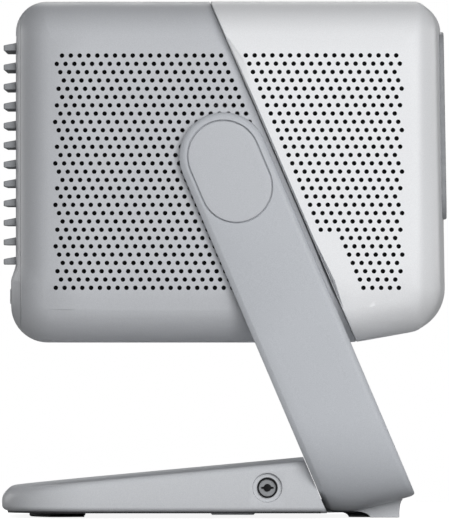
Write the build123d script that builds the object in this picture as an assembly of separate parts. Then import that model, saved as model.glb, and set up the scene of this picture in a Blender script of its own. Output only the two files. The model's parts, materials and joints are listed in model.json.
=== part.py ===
"""Gimbal smart projector with built-in loudspeakers.

A wide head tilts between the two arms of a slanted yoke. The yoke and its
low wedge base turn together on a round foot disc. Millimetres, +X is the lens
side, +Z is up, and the origin is on the floor under the middle of the box.
"""
from build123d import *
import os
from math import atan2, cos, degrees, hypot, pi, radians, sin

os.makedirs("parts", exist_ok=True)

# ---- driving dimensions: head ----
HEAD_WIDTH = 241.0            # across the two front side faces, along Y
HEAD_HEIGHT = 155.2           # underside to top
HEAD_BOTTOM = 80.0            # underside above the floor
HEAD_REAR_X = -95.0           # rear face above the port band
HEAD_FRONT_X = 98.85          # front face at its top edge
FRONT_LEAN = 2.5              # foot of the front face ahead of its top
CHIN_RISE = 7.7               # front edge of the underside above its flat
CHIN_LENGTH = 43.0            # length of the rising underside
BAND_BULGE = 2.2              # port band behind the rear face
BAND_TOP = 28.5               # top of the port band above the underside
CORNER_R = 13.6               # top corners in side view
CHIN_R = 20.0                 # lower front corner in side view
TAIL_R = 16.4                 # lower rear corner in side view
EDGE_ROLL = 12.5              # rolled edge between the rim and a side face
WALL = 2.4                    # moulded wall
STEP = 9.0                    # rear side face below the front side face
ARM_CLEAR = 2.28508           # diagonal step ahead of the arm's front edge
SEAM_LEAN = 0.430             # run of the step along X per mm of drop

# ---- driving dimensions: grilles ----
GRILLE_T = 1.2                # perforated sheet
GRILLE_LEDGE = 3.0            # glue ledge round each sheet
HOLE_R = 1.05                 # perforation
HOLE_PITCH = 4.013            # along a row
ROW_PITCH = 3.765             # between rows
ROW_FOOT = 24.9               # least height of the last row above the underside
ROW_TOP_DROP = 24.8           # first row below the top of the head
HOLE_MARGIN = 5.6             # first hole from the diagonal step, along X
GRILLE_MARGIN = 3.0           # sheet edge beyond its outer holes

# ---- driving dimensions: front panel ----
PANEL_WIDTH = 150.0
PANEL_HEIGHT = 85.5
PANEL_DROP = 56.35            # panel middle below the top of the head
PANEL_R = 14.0
PANEL_PROUD = 0.8
BEZEL_RIM = 2.4
GLASS_T = 2.0

# ---- driving dimensions: rear louvres ----
LOUVRE_FOOT = 37.4            # least height of the last blade above the underside
LOUVRE_PITCH = 8.85
LOUVRE_TOP_DROP = 20.4        # first blade below the top of the head
LOUVRE_TIP = 5.6              # blade tips behind the rear face
LOUVRE_ROOT_T = 3.2
LOUVRE_TIP_T = 2.2
LOUVRE_WIDTH = 196.0

# ---- driving dimensions: tilt hinge ----
PIVOT_X = -0.5
PIVOT_ABOVE = 7.0             # tilt axis above the middle of the head
SHAFT_R = 6.0
BEARING_R = 12.0
BEARING_FLANGE_R = 22.0
FLANGE_R = 14.0               # shaft flange under the cap
FLANGE_T = 3.0
CAP_R = 16.05
CAP_REACH = 15.0              # between the cap's two end centres
CAP_T = 1.2

# ---- driving dimensions: yoke ----
ARM_ANGLE = 66.9              # from the floor
ARM_HALF = 20.0
ARM_T = 8.4
YOKE_FLOOR = 3.0              # underside above the floor
YOKE_ROLL = 33.0              # outer corner in front view
BAR_T = 18.0                  # crossbar thickness
BAR_NOSE_Z = 12.2             # height of the crossbar's front edge
BAR_NOSE_R = 3.0

# ---- driving dimensions: base and foot ----
BASE_REAR_X = -101.5
BASE_HALF = 100.0
BASE_FLOOR = 2.4
BASE_REAR_H = 13.3            # wedge top at the rear, above the floor
BASE_SLOPE = 5.36             # degrees
BASE_CORNER_R = 40.0          # rear corners in plan
BASE_EDGE_R = 5.0
BASE_WALL = 2.4
COVER_T = 2.0
DISC_X = -5.0                 # swivel axis
DISC_R = 84.6
DISC_T = 4.6
FOOT_W = 7.1                  # radial width of a foot pad
FOOT_ARC = 30.0               # half angle of a foot pad
SPINDLE_R = 12.0
JACK_X = 19.5
JACK_Z = 14.1
JACK_POCKET_R = 6.95
JACK_POCKET_DEPTH = 2.5
JACK_RING_R = 4.5

# ---- clearances ----
SEAM_GAP = 0.2                # between fixed cover pieces
RUN_GAP = 0.05                # radial, shaft in bearing
SIDE_GAP = 0.6                # head to arm
TURN_GAP = 0.6                # disc to its recess
AXIAL_GAP = 0.3               # turning faces
BUTTON_GAP = 0.3

# ---- sizes that follow ----
HEAD_TOP = HEAD_BOTTOM + HEAD_HEIGHT
FRONT_Y = HEAD_WIDTH / 2
REAR_Y = FRONT_Y - STEP
PIVOT_Z = HEAD_BOTTOM + HEAD_HEIGHT / 2 + PIVOT_ABOVE
SEAM_TOP_X = PIVOT_X + (ARM_HALF + ARM_CLEAR) * hypot(1, SEAM_LEAN) - (HEAD_TOP - PIVOT_Z) * SEAM_LEAN
ROW_COUNT = int((HEAD_HEIGHT - ROW_TOP_DROP - ROW_FOOT) / ROW_PITCH) + 1
LOUVRE_COUNT = int((HEAD_HEIGHT - LOUVRE_TOP_DROP - LOUVRE_FOOT) / LOUVRE_PITCH) + 1
ARM_IN_Y = REAR_Y + SIDE_GAP
ARM_OUT_Y = ARM_IN_Y + ARM_T
BAND_X = HEAD_REAR_X - BAND_BULGE
COVER_X = HEAD_REAR_X + WALL + 0.1   # joint plane of the rear cover
FLOOR_IN = HEAD_BOTTOM + WALL
BIG = 400.0


def save(shape, name):
    """Write one sub-part to its STEP file."""
    export_step(shape, f"parts/{name}.step")


def save_pair(shape, name):
    """Write a piece of the right side (-Y) and its mirror image on the left."""
    save(shape, f"{name}_right")
    save(mirror(shape, about=Plane.XZ), f"{name}_left")


def block(x0, x1, y0, y1, z0, z1):
    """Box between two corners."""
    middle = Pos((x0 + x1) / 2, (y0 + y1) / 2, (z0 + z1) / 2)
    return middle * Box(x1 - x0, y1 - y0, z1 - z0)


def rod_x(y, z, r, x0, x1):
    """Round bar along X."""
    return Pos((x0 + x1) / 2, y, z) * Rot(0, 90, 0) * Cylinder(r, x1 - x0)


def rod_y(x, z, r, y0, y1):
    """Round bar along Y."""
    return Pos(x, (y0 + y1) / 2, z) * Rot(90, 0, 0) * Cylinder(r, y1 - y0)


def rod_z(x, y, r, z0, z1):
    """Round bar along Z."""
    return Pos(x, y, (z0 + z1) / 2) * Cylinder(r, z1 - z0)


def side_face(points, radii):
    """Closed outline in side view (x, z), with one radius for each corner."""
    return Plane.XZ * make_face(FilletPolyline(*points, radius=radii, close=True))


def slab(face, y0, y1):
    """Side-view outline carried along Y from y0 to y1."""
    return extrude(face.moved(Location((0, y0, 0))), amount=y1 - y0, dir=(0, 1, 0))


def both_sides(shape):
    """A shape together with its mirror image across the middle plane."""
    return shape + mirror(shape, about=Plane.XZ)


def seam_x(z):
    """The diagonal step's place along X at a height."""
    return SEAM_TOP_X + (HEAD_TOP - z) * SEAM_LEAN


# ---- head shell ----
def head_outline(inset):
    """Side-view outline of the head, moved inwards by a wall."""
    points = [
        (HEAD_REAR_X, HEAD_TOP),
        (HEAD_FRONT_X, HEAD_TOP),
        (HEAD_FRONT_X + FRONT_LEAN, HEAD_BOTTOM + CHIN_RISE),
        (HEAD_FRONT_X + FRONT_LEAN - CHIN_LENGTH, HEAD_BOTTOM),
        (BAND_X, HEAD_BOTTOM),
        (BAND_X, HEAD_BOTTOM + BAND_TOP),
        (HEAD_REAR_X, HEAD_BOTTOM + BAND_TOP + 3 * BAND_BULGE),
    ]
    outline = side_face(points, [CORNER_R, CORNER_R, CHIN_R, 60.0, TAIL_R, 8.0, 8.0])
    return offset(outline, amount=-inset) if inset else outline


def rolled_body(half_width, inset):
    """The head's outline carried across, with both rims rolled over."""
    half = half_width - inset
    body = slab(head_outline(inset), -half, half)
    rims = body.edges().group_by(Axis.Y)
    return fillet(rims[0] + rims[-1], EDGE_ROLL - inset)


def front_zone(inset):
    """Everything in front of the diagonal step, moved forwards by a wall."""
    shift = inset * hypot(1, SEAM_LEAN)
    corners = [
        (seam_x(HEAD_TOP + BIG) + shift, HEAD_TOP + BIG),
        (BIG + BIG, HEAD_TOP + BIG),
        (BIG + BIG, HEAD_BOTTOM - BIG / 4),
        (seam_x(HEAD_BOTTOM - BIG / 4) + shift, HEAD_BOTTOM - BIG / 4),
    ]
    return slab(Plane.XZ * make_face(Polyline(*corners, close=True)), -BIG, BIG)


def head_volume(inset):
    """The whole head: narrow behind the diagonal step, wide in front of it."""
    wide = rolled_body(FRONT_Y, inset) & front_zone(inset)
    return rolled_body(REAR_Y, inset) + wide


HEAD_OUTER = head_volume(0)
HEAD_INNER = head_volume(WALL)


# ---- perforated side sheets ----
ROW_TOP = HEAD_TOP - ROW_TOP_DROP
ROW_BOTTOM = ROW_TOP - (ROW_COUNT - 1) * ROW_PITCH
REAR_FIELD_X = HEAD_REAR_X + 18.2
FRONT_FIELD_X = HEAD_FRONT_X + FRONT_LEAN - 20.5
BLANK_ROWS = 7                # lowest front rows that start two holes later


def row_height(row):
    """Height of a row of holes."""
    return ROW_TOP - row * ROW_PITCH


def rear_holes():
    """Hole middles behind the diagonal step."""
    holes = []
    for row in range(ROW_COUNT):
        z = row_height(row)
        last = seam_x(z) - HOLE_MARGIN
        steps = int((last - REAR_FIELD_X) / HOLE_PITCH)
        holes += [(last - i * HOLE_PITCH, z) for i in range(steps + 1)]
    clear = BEARING_R + GRILLE_LEDGE + HOLE_R
    return [h for h in holes if hypot(h[0] - PIVOT_X, h[1] - PIVOT_Z) > clear]


def front_holes():
    """Hole middles in front of the diagonal step."""
    holes = []
    for row in range(ROW_COUNT):
        z = row_height(row)
        first = seam_x(z) + HOLE_MARGIN
        if row >= ROW_COUNT - BLANK_ROWS:
            first += 2 * HOLE_PITCH
        steps = int((FRONT_FIELD_X - first) / HOLE_PITCH)
        holes += [(first + i * HOLE_PITCH, z) for i in range(steps + 1)]
    return holes


def field_outline(front, grow):
    """Outline round one field of holes, grown outwards by a margin."""
    top = ROW_TOP + grow
    bottom = ROW_BOTTOM - grow
    slant = grow * hypot(1, SEAM_LEAN)
    if front:
        corners = [
            (seam_x(top) + HOLE_MARGIN - slant, top),
            (FRONT_FIELD_X + grow, top),
            (FRONT_FIELD_X + grow, bottom),
            (seam_x(bottom) + HOLE_MARGIN - slant, bottom),
        ]
    else:
        corners = [
            (REAR_FIELD_X - grow, top),
            (seam_x(top) - HOLE_MARGIN + slant, top),
            (seam_x(bottom) - HOLE_MARGIN + slant, bottom),
            (REAR_FIELD_X - grow, bottom),
        ]
    return side_face(corners, [2.0] * 4)


def sheet(front):
    """One perforated sheet of the right side."""
    outer = FRONT_Y if front else REAR_Y
    outline = field_outline(front, GRILLE_MARGIN - SEAM_GAP)
    middles = front_holes() if front else rear_holes()
    rounds = [Plane.XZ * Pos(x, z) * Circle(HOLE_R) for x, z in middles]
    wires = [r.wire() for r in rounds]
    if not front:
        eye = Plane.XZ * Pos(PIVOT_X, PIVOT_Z) * Circle(BEARING_R + SEAM_GAP)
        wires.append(eye.wire())
    face = Face(outline.wire(), wires)
    return slab(face, -outer, -outer + GRILLE_T)


def sheet_pocket(front):
    """Space for a sheet, and the window behind it inside the glue ledge."""
    outer = FRONT_Y if front else REAR_Y
    pocket = slab(field_outline(front, GRILLE_MARGIN), -outer - 1, -outer + GRILLE_T)
    window = slab(field_outline(front, GRILLE_MARGIN - GRILLE_LEDGE), -outer, -outer + 2 * WALL)
    return pocket + window


# ---- front panel ----
FRONT_DROP = HEAD_HEIGHT - CHIN_RISE
LEAN = degrees(atan2(FRONT_LEAN, FRONT_DROP))
PANEL_Z = HEAD_TOP - PANEL_DROP
PANEL_X = HEAD_FRONT_X + FRONT_LEAN * PANEL_DROP / FRONT_DROP
PANEL_PLANE = Plane(
    origin=(PANEL_X, 0, PANEL_Z),
    x_dir=(0, 1, 0),
    z_dir=(cos(radians(LEAN)), 0, sin(radians(LEAN))),
)


def panel_slab(grow, low, high):
    """Panel outline grown by a margin, between two depths from the front face."""
    shape = RectangleRounded(PANEL_WIDTH + 2 * grow, PANEL_HEIGHT + 2 * grow, PANEL_R + grow)
    return extrude(PANEL_PLANE.offset(low) * shape, amount=high - low)


GLASS_FACE = PANEL_PROUD - 0.2
GLASS_BACK = GLASS_FACE - GLASS_T
BEZEL_BACK = -WALL - 1.6
bezel = panel_slab(0, -WALL, PANEL_PROUD)
bezel += panel_slab(4.0, BEZEL_BACK, -WALL) & HEAD_INNER
bezel -= panel_slab(-BEZEL_RIM, GLASS_BACK, PANEL_PROUD + 1)
bezel -= panel_slab(-BEZEL_RIM - 3.0, BEZEL_BACK - 1, PANEL_PROUD + 1)
glass = panel_slab(-BEZEL_RIM - SEAM_GAP, GLASS_BACK, GLASS_FACE)
save(bezel, "front_bezel")
save(glass, "front_glass")

SENSOR_Y = -52.0
sensor = PANEL_PLANE.offset(GLASS_BACK) * Pos(SENSOR_Y, 0, -4.0) * Box(18.0, 30.0, 8.0)
save(sensor, "sensor_module")

# ---- rear openings ----
LOUVRE_TOP = HEAD_TOP - LOUVRE_TOP_DROP
LOUVRE_BOTTOM = LOUVRE_TOP - (LOUVRE_COUNT - 1) * LOUVRE_PITCH
FRAME_TOP = LOUVRE_TOP + 5.0
FRAME_BOTTOM = LOUVRE_BOTTOM - 5.0
PORT_Z = HEAD_BOTTOM + 16.6   # middle of the connectors
BUTTON_Y = -52.0
BUTTON_Z = HEAD_BOTTOM + 21.0
BUTTON_LENGTH = 22.0
BUTTON_HEIGHT = 7.2
BUTTON_PROUD = 0.6
HDMI_YS = [-26.0, -6.0]
HDMI_SIZE = (15.0, 5.8)
USB_Y = 14.0
USB_SIZE = (13.4, 6.0)
AUDIO_Y = 32.0
AUDIO_R = 1.8
AUDIO_BODY_R = 3.2
PORT_BACK = BAND_X + 14.0


def pill(y, z, length, height, x0, x1):
    """Rounded bar across the rear band."""
    bar = Plane.YZ * Pos(y, z) * SlotOverall(length, height)
    return extrude(bar.moved(Location((x0, 0, 0))), amount=x1 - x0, dir=(1, 0, 0))


shell = HEAD_OUTER - HEAD_INNER
shell -= panel_slab(SEAM_GAP, -2 * WALL, 5)
shell -= both_sides(sheet_pocket(True))
shell -= both_sides(sheet_pocket(False))
shell -= both_sides(rod_y(PIVOT_X, PIVOT_Z, BEARING_R + SEAM_GAP, -REAR_Y - 1, -REAR_Y + 3 * WALL))
main_shell = shell & block(COVER_X, BIG, -BIG, BIG, 0, BIG)
save(main_shell, "head_shell")

louvre_half = LOUVRE_WIDTH / 2
louvre_hole = block(-BIG, COVER_X, -louvre_half, louvre_half, FRAME_BOTTOM, FRAME_TOP)
rear_cover = shell & block(-BIG, COVER_X - SEAM_GAP, -BIG, BIG, 0, BIG)
lip_x = COVER_X + 3.6
lip_y = REAR_Y - EDGE_ROLL + 1.4
lip_top = HEAD_TOP - CORNER_R + 1.2
rear_cover += block(HEAD_REAR_X + 1, lip_x, -lip_y, lip_y, lip_top - 2, lip_top)
rear_cover += both_sides(block(HEAD_REAR_X + 1, lip_x, -lip_y, -lip_y + 1.6, FRAME_BOTTOM, lip_top))
rear_cover += block(BAND_X + 2.0, lip_x, -lip_y + 9, lip_y - 9, HEAD_BOTTOM + 9.5, HEAD_BOTTOM + 10.9)
rear_cover -= louvre_hole
for y in HDMI_YS:
    rear_cover -= block(-BIG, COVER_X + 6, y - 7.5 - 0.3, y + 7.5 + 0.3, PORT_Z - 3.2, PORT_Z + 3.2)
rear_cover -= block(-BIG, COVER_X + 6, USB_Y - 7.0, USB_Y + 7.0, PORT_Z - 3.3, PORT_Z + 3.3)
rear_cover -= rod_x(AUDIO_Y, PORT_Z, AUDIO_BODY_R + SEAM_GAP, -BIG, COVER_X + 6)
button_hole = pill(
    BUTTON_Y, BUTTON_Z, BUTTON_LENGTH + 2 * BUTTON_GAP, BUTTON_HEIGHT + 2 * BUTTON_GAP, -BIG, COVER_X + 6
)
rear_cover -= button_hole
save(rear_cover, "rear_cover")
save(pill(BUTTON_Y, BUTTON_Z, BUTTON_LENGTH, BUTTON_HEIGHT, BAND_X - BUTTON_PROUD, COVER_X), "power_button")

# rear louvres: a frame in the cover's opening with blades that stand out of it
TIP_X = HEAD_REAR_X - LOUVRE_TIP
louvres = block(
    HEAD_REAR_X, COVER_X - SEAM_GAP, -louvre_half + SEAM_GAP, louvre_half - SEAM_GAP,
    FRAME_BOTTOM + SEAM_GAP, FRAME_TOP - SEAM_GAP,
)
slot_half = louvre_half - 4.0
for i in range(LOUVRE_COUNT - 1):
    z = LOUVRE_TOP - (i + 0.5) * LOUVRE_PITCH
    gap = (LOUVRE_PITCH - LOUVRE_ROOT_T) / 2
    for side in range(4):
        y0 = -slot_half + side * slot_half / 2
        louvres -= block(HEAD_REAR_X - 1, COVER_X, y0 + 1, y0 + slot_half / 2 - 1, z - gap, z + gap)
for i in range(LOUVRE_COUNT):
    z = LOUVRE_TOP - i * LOUVRE_PITCH
    blade = [
        (HEAD_REAR_X + 0.5, z + LOUVRE_ROOT_T / 2),
        (TIP_X, z + LOUVRE_TIP_T / 2 - 0.6),
        (TIP_X, z - LOUVRE_TIP_T / 2 - 0.6),
        (HEAD_REAR_X + 0.5, z - LOUVRE_ROOT_T / 2),
    ]
    louvres += slab(side_face(blade, [0.1, 0.9, 0.9, 0.1]), -slot_half, slot_half)
save(louvres, "rear_louvres")

save_pair(sheet(True), "grille_front")
save_pair(sheet(False), "grille_rear")

# ---- tilt hinge and chassis ----
WALL_Y = 80.0                 # outer face of the chassis side walls
SHEET_T = 2.0
NUT_T = 5.5
WASHER_T = 2.0
NUT_R = 9.0
bearing = rod_y(PIVOT_X, PIVOT_Z, BEARING_FLANGE_R, -WALL_Y - 4.0, -WALL_Y)
bearing += rod_y(PIVOT_X, PIVOT_Z, BEARING_R, -REAR_Y, -WALL_Y)
bearing -= rod_y(PIVOT_X, PIVOT_Z, SHAFT_R + RUN_GAP, -REAR_Y - 1, -WALL_Y + 1)
save_pair(bearing, "tilt_bearing")

washer_y = -WALL_Y + SHEET_T + AXIAL_GAP
nut_y = washer_y + WASHER_T
flange_out = -ARM_OUT_Y + CAP_T
shaft = rod_y(PIVOT_X, PIVOT_Z, FLANGE_R, flange_out, flange_out + FLANGE_T)
shaft += rod_y(PIVOT_X, PIVOT_Z, SHAFT_R, flange_out, nut_y + NUT_T + 1.0)
save_pair(shaft, "tilt_shaft")
washer = rod_y(PIVOT_X, PIVOT_Z, NUT_R + 2.0, washer_y, nut_y)
washer -= rod_y(PIVOT_X, PIVOT_Z, SHAFT_R, washer_y - 1, nut_y + 1)
save(Compound(children=[washer, mirror(washer, about=Plane.XZ)]), "friction_washers")
nut_face = Plane.XZ * Pos(PIVOT_X, PIVOT_Z) * RegularPolygon(NUT_R, 6)
nut = slab(nut_face, nut_y, nut_y + NUT_T) - rod_y(PIVOT_X, PIVOT_Z, SHAFT_R, nut_y - 1, nut_y + 9)
save(Compound(children=[nut, mirror(nut, about=Plane.XZ)]), "tilt_nuts")

PLATE_Z = FLOOR_IN + 4.0
SHELF_Z = HEAD_BOTTOM + 40.0
BOARD_Z = PLATE_Z + SHEET_T + 2.6
BOARD_T = 1.6
WALL_X0 = PIVOT_X - 35.0
WALL_X1 = PIVOT_X + 45.0
WALL_TOP = PIVOT_Z + 28.0
FLOOR_X0 = HEAD_REAR_X + 25.0
FLOOR_X1 = HEAD_FRONT_X - 30.0
chassis = block(FLOOR_X0, FLOOR_X1, -WALL_Y, WALL_Y, PLATE_Z, PLATE_Z + SHEET_T)
chassis += both_sides(block(WALL_X0, WALL_X1, -WALL_Y, -WALL_Y + SHEET_T, PLATE_Z, WALL_TOP))
chassis += block(FLOOR_X0, WALL_X1, -WALL_Y, WALL_Y, SHELF_Z - SHEET_T, SHELF_Z)
for x in (FLOOR_X0 + 8.0, WALL_X1 - 8.0):
    for y in (-66.0, 66.0):
        chassis += rod_z(x, y, 4.0, FLOOR_IN, PLATE_Z)
for x in (FLOOR_X0 + 12.0, WALL_X1 - 4.0):
    for y in (-50.0, 50.0):
        chassis += rod_z(x, y, 3.0, PLATE_Z, BOARD_Z)
chassis -= rod_y(PIVOT_X, PIVOT_Z, SHAFT_R + 1.0, -BIG, BIG)
save(chassis, "chassis")

mainboard = block(HEAD_REAR_X + 7.0, WALL_X1, -62.0, 62.0, BOARD_Z, BOARD_Z + BOARD_T)
mainboard += block(-20.0, 4.0, -14.0, 10.0, BOARD_Z + BOARD_T, BOARD_Z + 9.0)
for x in (-50.0, 20.0):
    for y in (-40.0, 28.0):
        mainboard += block(x, x + 14.0, y, y + 12.0, BOARD_Z, BOARD_Z + 3.4)
save(mainboard, "mainboard")
power_board = block(WALL_X0 + 4, WALL_X1 - 6, -78.0, -76.4, BOARD_Z + 6, SHELF_Z - SHEET_T - 2)
for i in range(4):
    x = WALL_X0 + 14.0 + 15.0 * i
    power_board += rod_y(x, BOARD_Z + 16.0, 5.0, -77.0, -64.0)
save(power_board, "power_board")

# ---- connectors on the port band ----
port_floor = BOARD_Z + BOARD_T


def socket(y, size):
    """Sheet metal socket that stands on the board and opens at the rear."""
    wide, tall = size
    body = block(BAND_X + 1.2, PORT_BACK, y - wide / 2, y + wide / 2, PORT_Z - tall / 2, PORT_Z + tall / 2)
    body -= block(BAND_X, PORT_BACK - 1.5, y - wide / 2 + 0.5, y + wide / 2 - 0.5,
                  PORT_Z - tall / 2 + 0.5, PORT_Z + tall / 2 - 0.5)
    body += block(BAND_X + 3, PORT_BACK - 1.5, y - wide / 2 + 2, y + wide / 2 - 2, PORT_Z - 0.6, PORT_Z + 0.6)
    body += block(BAND_X + 3, PORT_BACK, y - 1, y + 1, PORT_Z - 0.6, PORT_Z + 0.6)
    legs = block(PORT_BACK - 4, PORT_BACK, y - 4, y + 4, port_floor, PORT_Z - tall / 2)
    return body + legs + block(PORT_BACK - 1.5, PORT_BACK, y - 2, y + 2, port_floor, PORT_Z)


save(Compound(children=[socket(y, HDMI_SIZE) for y in HDMI_YS]), "hdmi_sockets")
save(socket(USB_Y, USB_SIZE), "usb_socket")
audio = rod_x(AUDIO_Y, PORT_Z, AUDIO_BODY_R, BAND_X + 1.2, PORT_BACK - 4)
audio += block(BAND_X + 8, PORT_BACK, AUDIO_Y - 4, AUDIO_Y + 4, port_floor, PORT_Z + AUDIO_BODY_R)
audio -= rod_x(AUDIO_Y, PORT_Z, AUDIO_R, BAND_X, PORT_BACK - 2)
save(audio, "audio_socket")

# ---- optics ----
LENS_Y = 0.0
LENS_Z = PANEL_Z
ENGINE_X1 = PIVOT_X + 40.5
ENGINE_X0 = PIVOT_X - 29.5
ENGINE_HALF = 45.0
ENGINE_TOP = LENS_Z + 27.0
BARREL_R = 20.0
BARREL_IN = 17.0
BARREL_X1 = PANEL_X - 8.0
RING_X0 = ENGINE_X1 + 20.0
RING_W = 12.0
GEAR_M = 0.8
RING_TEETH = 60
PINION_TEETH = 15
PINION_ANGLE = -35.0
MOTOR_R = 8.0
MOTOR_SHAFT_R = 1.0

engine = block(ENGINE_X0, ENGINE_X1, -ENGINE_HALF, ENGINE_HALF, SHELF_Z, ENGINE_TOP)
engine = chamfer(engine.edges().filter_by(Axis.Z), 6.0)
save(engine, "optical_engine")
lights = [block(ENGINE_X0 + 8, ENGINE_X0 + 38, s * (ENGINE_HALF + 8) - 8, s * (ENGINE_HALF + 8) + 8,
                SHELF_Z, SHELF_Z + 32) for s in (-1, 1)]
save(Compound(children=lights), "light_modules")
barrel = rod_x(LENS_Y, LENS_Z, BARREL_R, ENGINE_X1, BARREL_X1)
barrel += rod_x(LENS_Y, LENS_Z, BARREL_R + 4.0, ENGINE_X1, ENGINE_X1 + 3.0)
barrel -= rod_x(LENS_Y, LENS_Z, BARREL_IN, ENGINE_X1 + 5.0, BARREL_X1 + 1)
save(barrel, "lens_barrel")
LENS_BALL_R = 38.5
lens_ball = Pos(BARREL_X1 - LENS_BALL_R - 2.0, LENS_Y, LENS_Z) * Rot(0, 90, 0) * Sphere(LENS_BALL_R)
save(rod_x(LENS_Y, LENS_Z, BARREL_IN, BARREL_X1 - 10.0, BARREL_X1) & lens_ball, "lens_front_element")


def gear(teeth, bore, x0, width, y, z, phase):
    """Spur wheel along X with narrow straight-sided teeth."""
    pitch_r = GEAR_M * teeth / 2
    root_r = pitch_r - 0.9 * GEAR_M * 1.25
    tip_r = pitch_r + 0.75 * GEAR_M
    half_root = 0.26 * pi * GEAR_M
    half_tip = 0.10 * pi * GEAR_M
    tooth = Polyline((root_r - 0.3, -half_root), (tip_r, -half_tip), (tip_r, half_tip),
                     (root_r - 0.3, half_root), close=True)
    wheel = Circle(root_r)
    wheel += [Rot(0, 0, phase + 360 * i / teeth) * make_face(tooth) for i in range(teeth)]
    wheel -= Circle(bore)
    return Pos(x0, y, z) * extrude(Plane.YZ * wheel, amount=width)


reach = GEAR_M * (RING_TEETH + PINION_TEETH) / 2
PINION_Y = LENS_Y + reach * cos(radians(PINION_ANGLE))
PINION_Z = LENS_Z + reach * sin(radians(PINION_ANGLE))
save(gear(RING_TEETH, BARREL_R + RUN_GAP, RING_X0, RING_W, LENS_Y, LENS_Z, PINION_ANGLE), "focus_ring")
facing = PINION_ANGLE + 180 + 180 / PINION_TEETH
pinion = gear(PINION_TEETH, MOTOR_SHAFT_R + RUN_GAP, RING_X0 + 2, RING_W - 4, PINION_Y, PINION_Z, facing)
save(pinion, "focus_pinion")
motor = rod_x(PINION_Y, PINION_Z, MOTOR_R, ENGINE_X1, RING_X0 - 2)
motor += rod_x(PINION_Y, PINION_Z, MOTOR_SHAFT_R, ENGINE_X1, RING_X0 + RING_W)
save(motor - rod_x(LENS_Y, LENS_Z, BARREL_R + 4.5, ENGINE_X1 - 1, ENGINE_X1 + 3.5), "focus_motor")

# ---- cooling ----
SINK_X1 = ENGINE_X0 - 10.0
SINK_BASE = 4.0
SINK_DEPTH = 26.0
SINK_HALF = 62.0
SINK_TOP = HEAD_TOP - 30.0
SINK_FINS = 31
FAN_SIZE = 60.0
FAN_T = 15.0
FAN_Y = 31.0
FAN_Z = SHELF_Z + 1.0 + FAN_SIZE / 2
FAN_BORE_R = 28.6
ROTOR_R = 27.8
HUB_R = 11.0
FAN_BLADES = 9
FAN_PIN_R = 1.5

sink = block(SINK_X1 - SINK_BASE, SINK_X1, -SINK_HALF, SINK_HALF, SHELF_Z, SINK_TOP)
for i in range(SINK_FINS):
    y = -SINK_HALF + 0.5 + i * (2 * SINK_HALF - 1.0) / (SINK_FINS - 1)
    sink += block(SINK_X1 - SINK_DEPTH, SINK_X1 - SINK_BASE, y - 0.5, y + 0.5, SHELF_Z, SINK_TOP)
save(sink, "heat_sink")
pipes = [rod_x(y, ENGINE_TOP - 12.0, 3.0, SINK_X1, ENGINE_X0) for y in (-26.0, -13.0, 0.0, 13.0, 26.0)]
save(Compound(children=pipes), "heat_pipes")

fan_x1 = SINK_X1 - SINK_DEPTH
fan_x0 = fan_x1 - FAN_T


def fan_housing(y):
    """Square duct with three spokes and a middle bearing."""
    half = FAN_SIZE / 2
    frame = block(fan_x0, fan_x1, y - half, y + half, FAN_Z - half, FAN_Z + half)
    frame -= rod_x(y, FAN_Z, FAN_BORE_R, fan_x0 - 1, fan_x1 + 1)
    for i in range(3):
        spoke = block(fan_x0, fan_x0 + 2, -1.5, 1.5, 3.0, FAN_BORE_R + 1)
        frame += Pos(0, y, FAN_Z) * Rot(120 * i, 0, 0) * spoke
    frame += rod_x(y, FAN_Z, 5.0, fan_x0, fan_x0 + 3.5)
    return frame - rod_x(y, FAN_Z, FAN_PIN_R + RUN_GAP, fan_x0 + 0.5, fan_x1)


def fan_rotor(y):
    """Hub with set blades and the pin that runs in the housing."""
    x0 = fan_x0 + 3.5 + AXIAL_GAP
    rotor = rod_x(y, FAN_Z, HUB_R, x0, fan_x1 - 0.5)
    span = ROTOR_R - HUB_R + 2
    for i in range(FAN_BLADES):
        blade = Pos(0, 0, HUB_R - 2 + span / 2) * Rot(0, 0, 38) * Box(11.5, 1.0, span)
        rotor += Pos((x0 + fan_x1) / 2, y, FAN_Z) * Rot(360 * i / FAN_BLADES, 0, 0) * blade
    rotor &= rod_x(y, FAN_Z, ROTOR_R, x0, fan_x1 - 0.5)
    return rotor + rod_x(y, FAN_Z, FAN_PIN_R, fan_x0 + 0.9, x0 + 1)


for y, side in ((-FAN_Y, "right"), (FAN_Y, "left")):
    save(fan_housing(y), f"fan_housing_{side}")
    save(fan_rotor(y), f"fan_rotor_{side}")

# ---- loudspeakers ----
BOX_Y0 = -WALL_Y
BOX_Y1 = -REAR_Y + 15.5
BOX_X0 = HEAD_REAR_X + 9.0
BOX_X1 = WALL_X0 + 7.0
BOX_Z0 = HEAD_BOTTOM + 15.0
BOX_Z1 = HEAD_TOP - 30.0
BOX_WALL = 2.0
DRIVER_X = (BOX_X0 + BOX_X1) / 2
DRIVER_Z = PIVOT_Z
DRIVER_R = 26.0
CUP_R = 22.5
MAGNET_R = 14.0

chamber = block(BOX_X0, BOX_X1, BOX_Y1, BOX_Y0, BOX_Z0, BOX_Z1)
chamber -= block(BOX_X0 + BOX_WALL, BOX_X1 - BOX_WALL, BOX_Y1 + BOX_WALL, BOX_Y0 - BOX_WALL,
                 BOX_Z0 + BOX_WALL, BOX_Z1 - BOX_WALL)
chamber -= rod_y(DRIVER_X, DRIVER_Z, CUP_R + 0.5, BOX_Y1 - 1, BOX_Y1 + BOX_WALL + 1)
save_pair(chamber, "speaker_chamber")
CUP_DEPTH = 8.0


def turned(points):
    """Solid of revolution about the driver's axis; (radius, depth behind the box face)."""
    face = make_face(Polyline(*points, close=True))
    ring = revolve(Plane.XY * face, axis=Axis.Y)
    return Pos(DRIVER_X, BOX_Y1, DRIVER_Z) * ring


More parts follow.
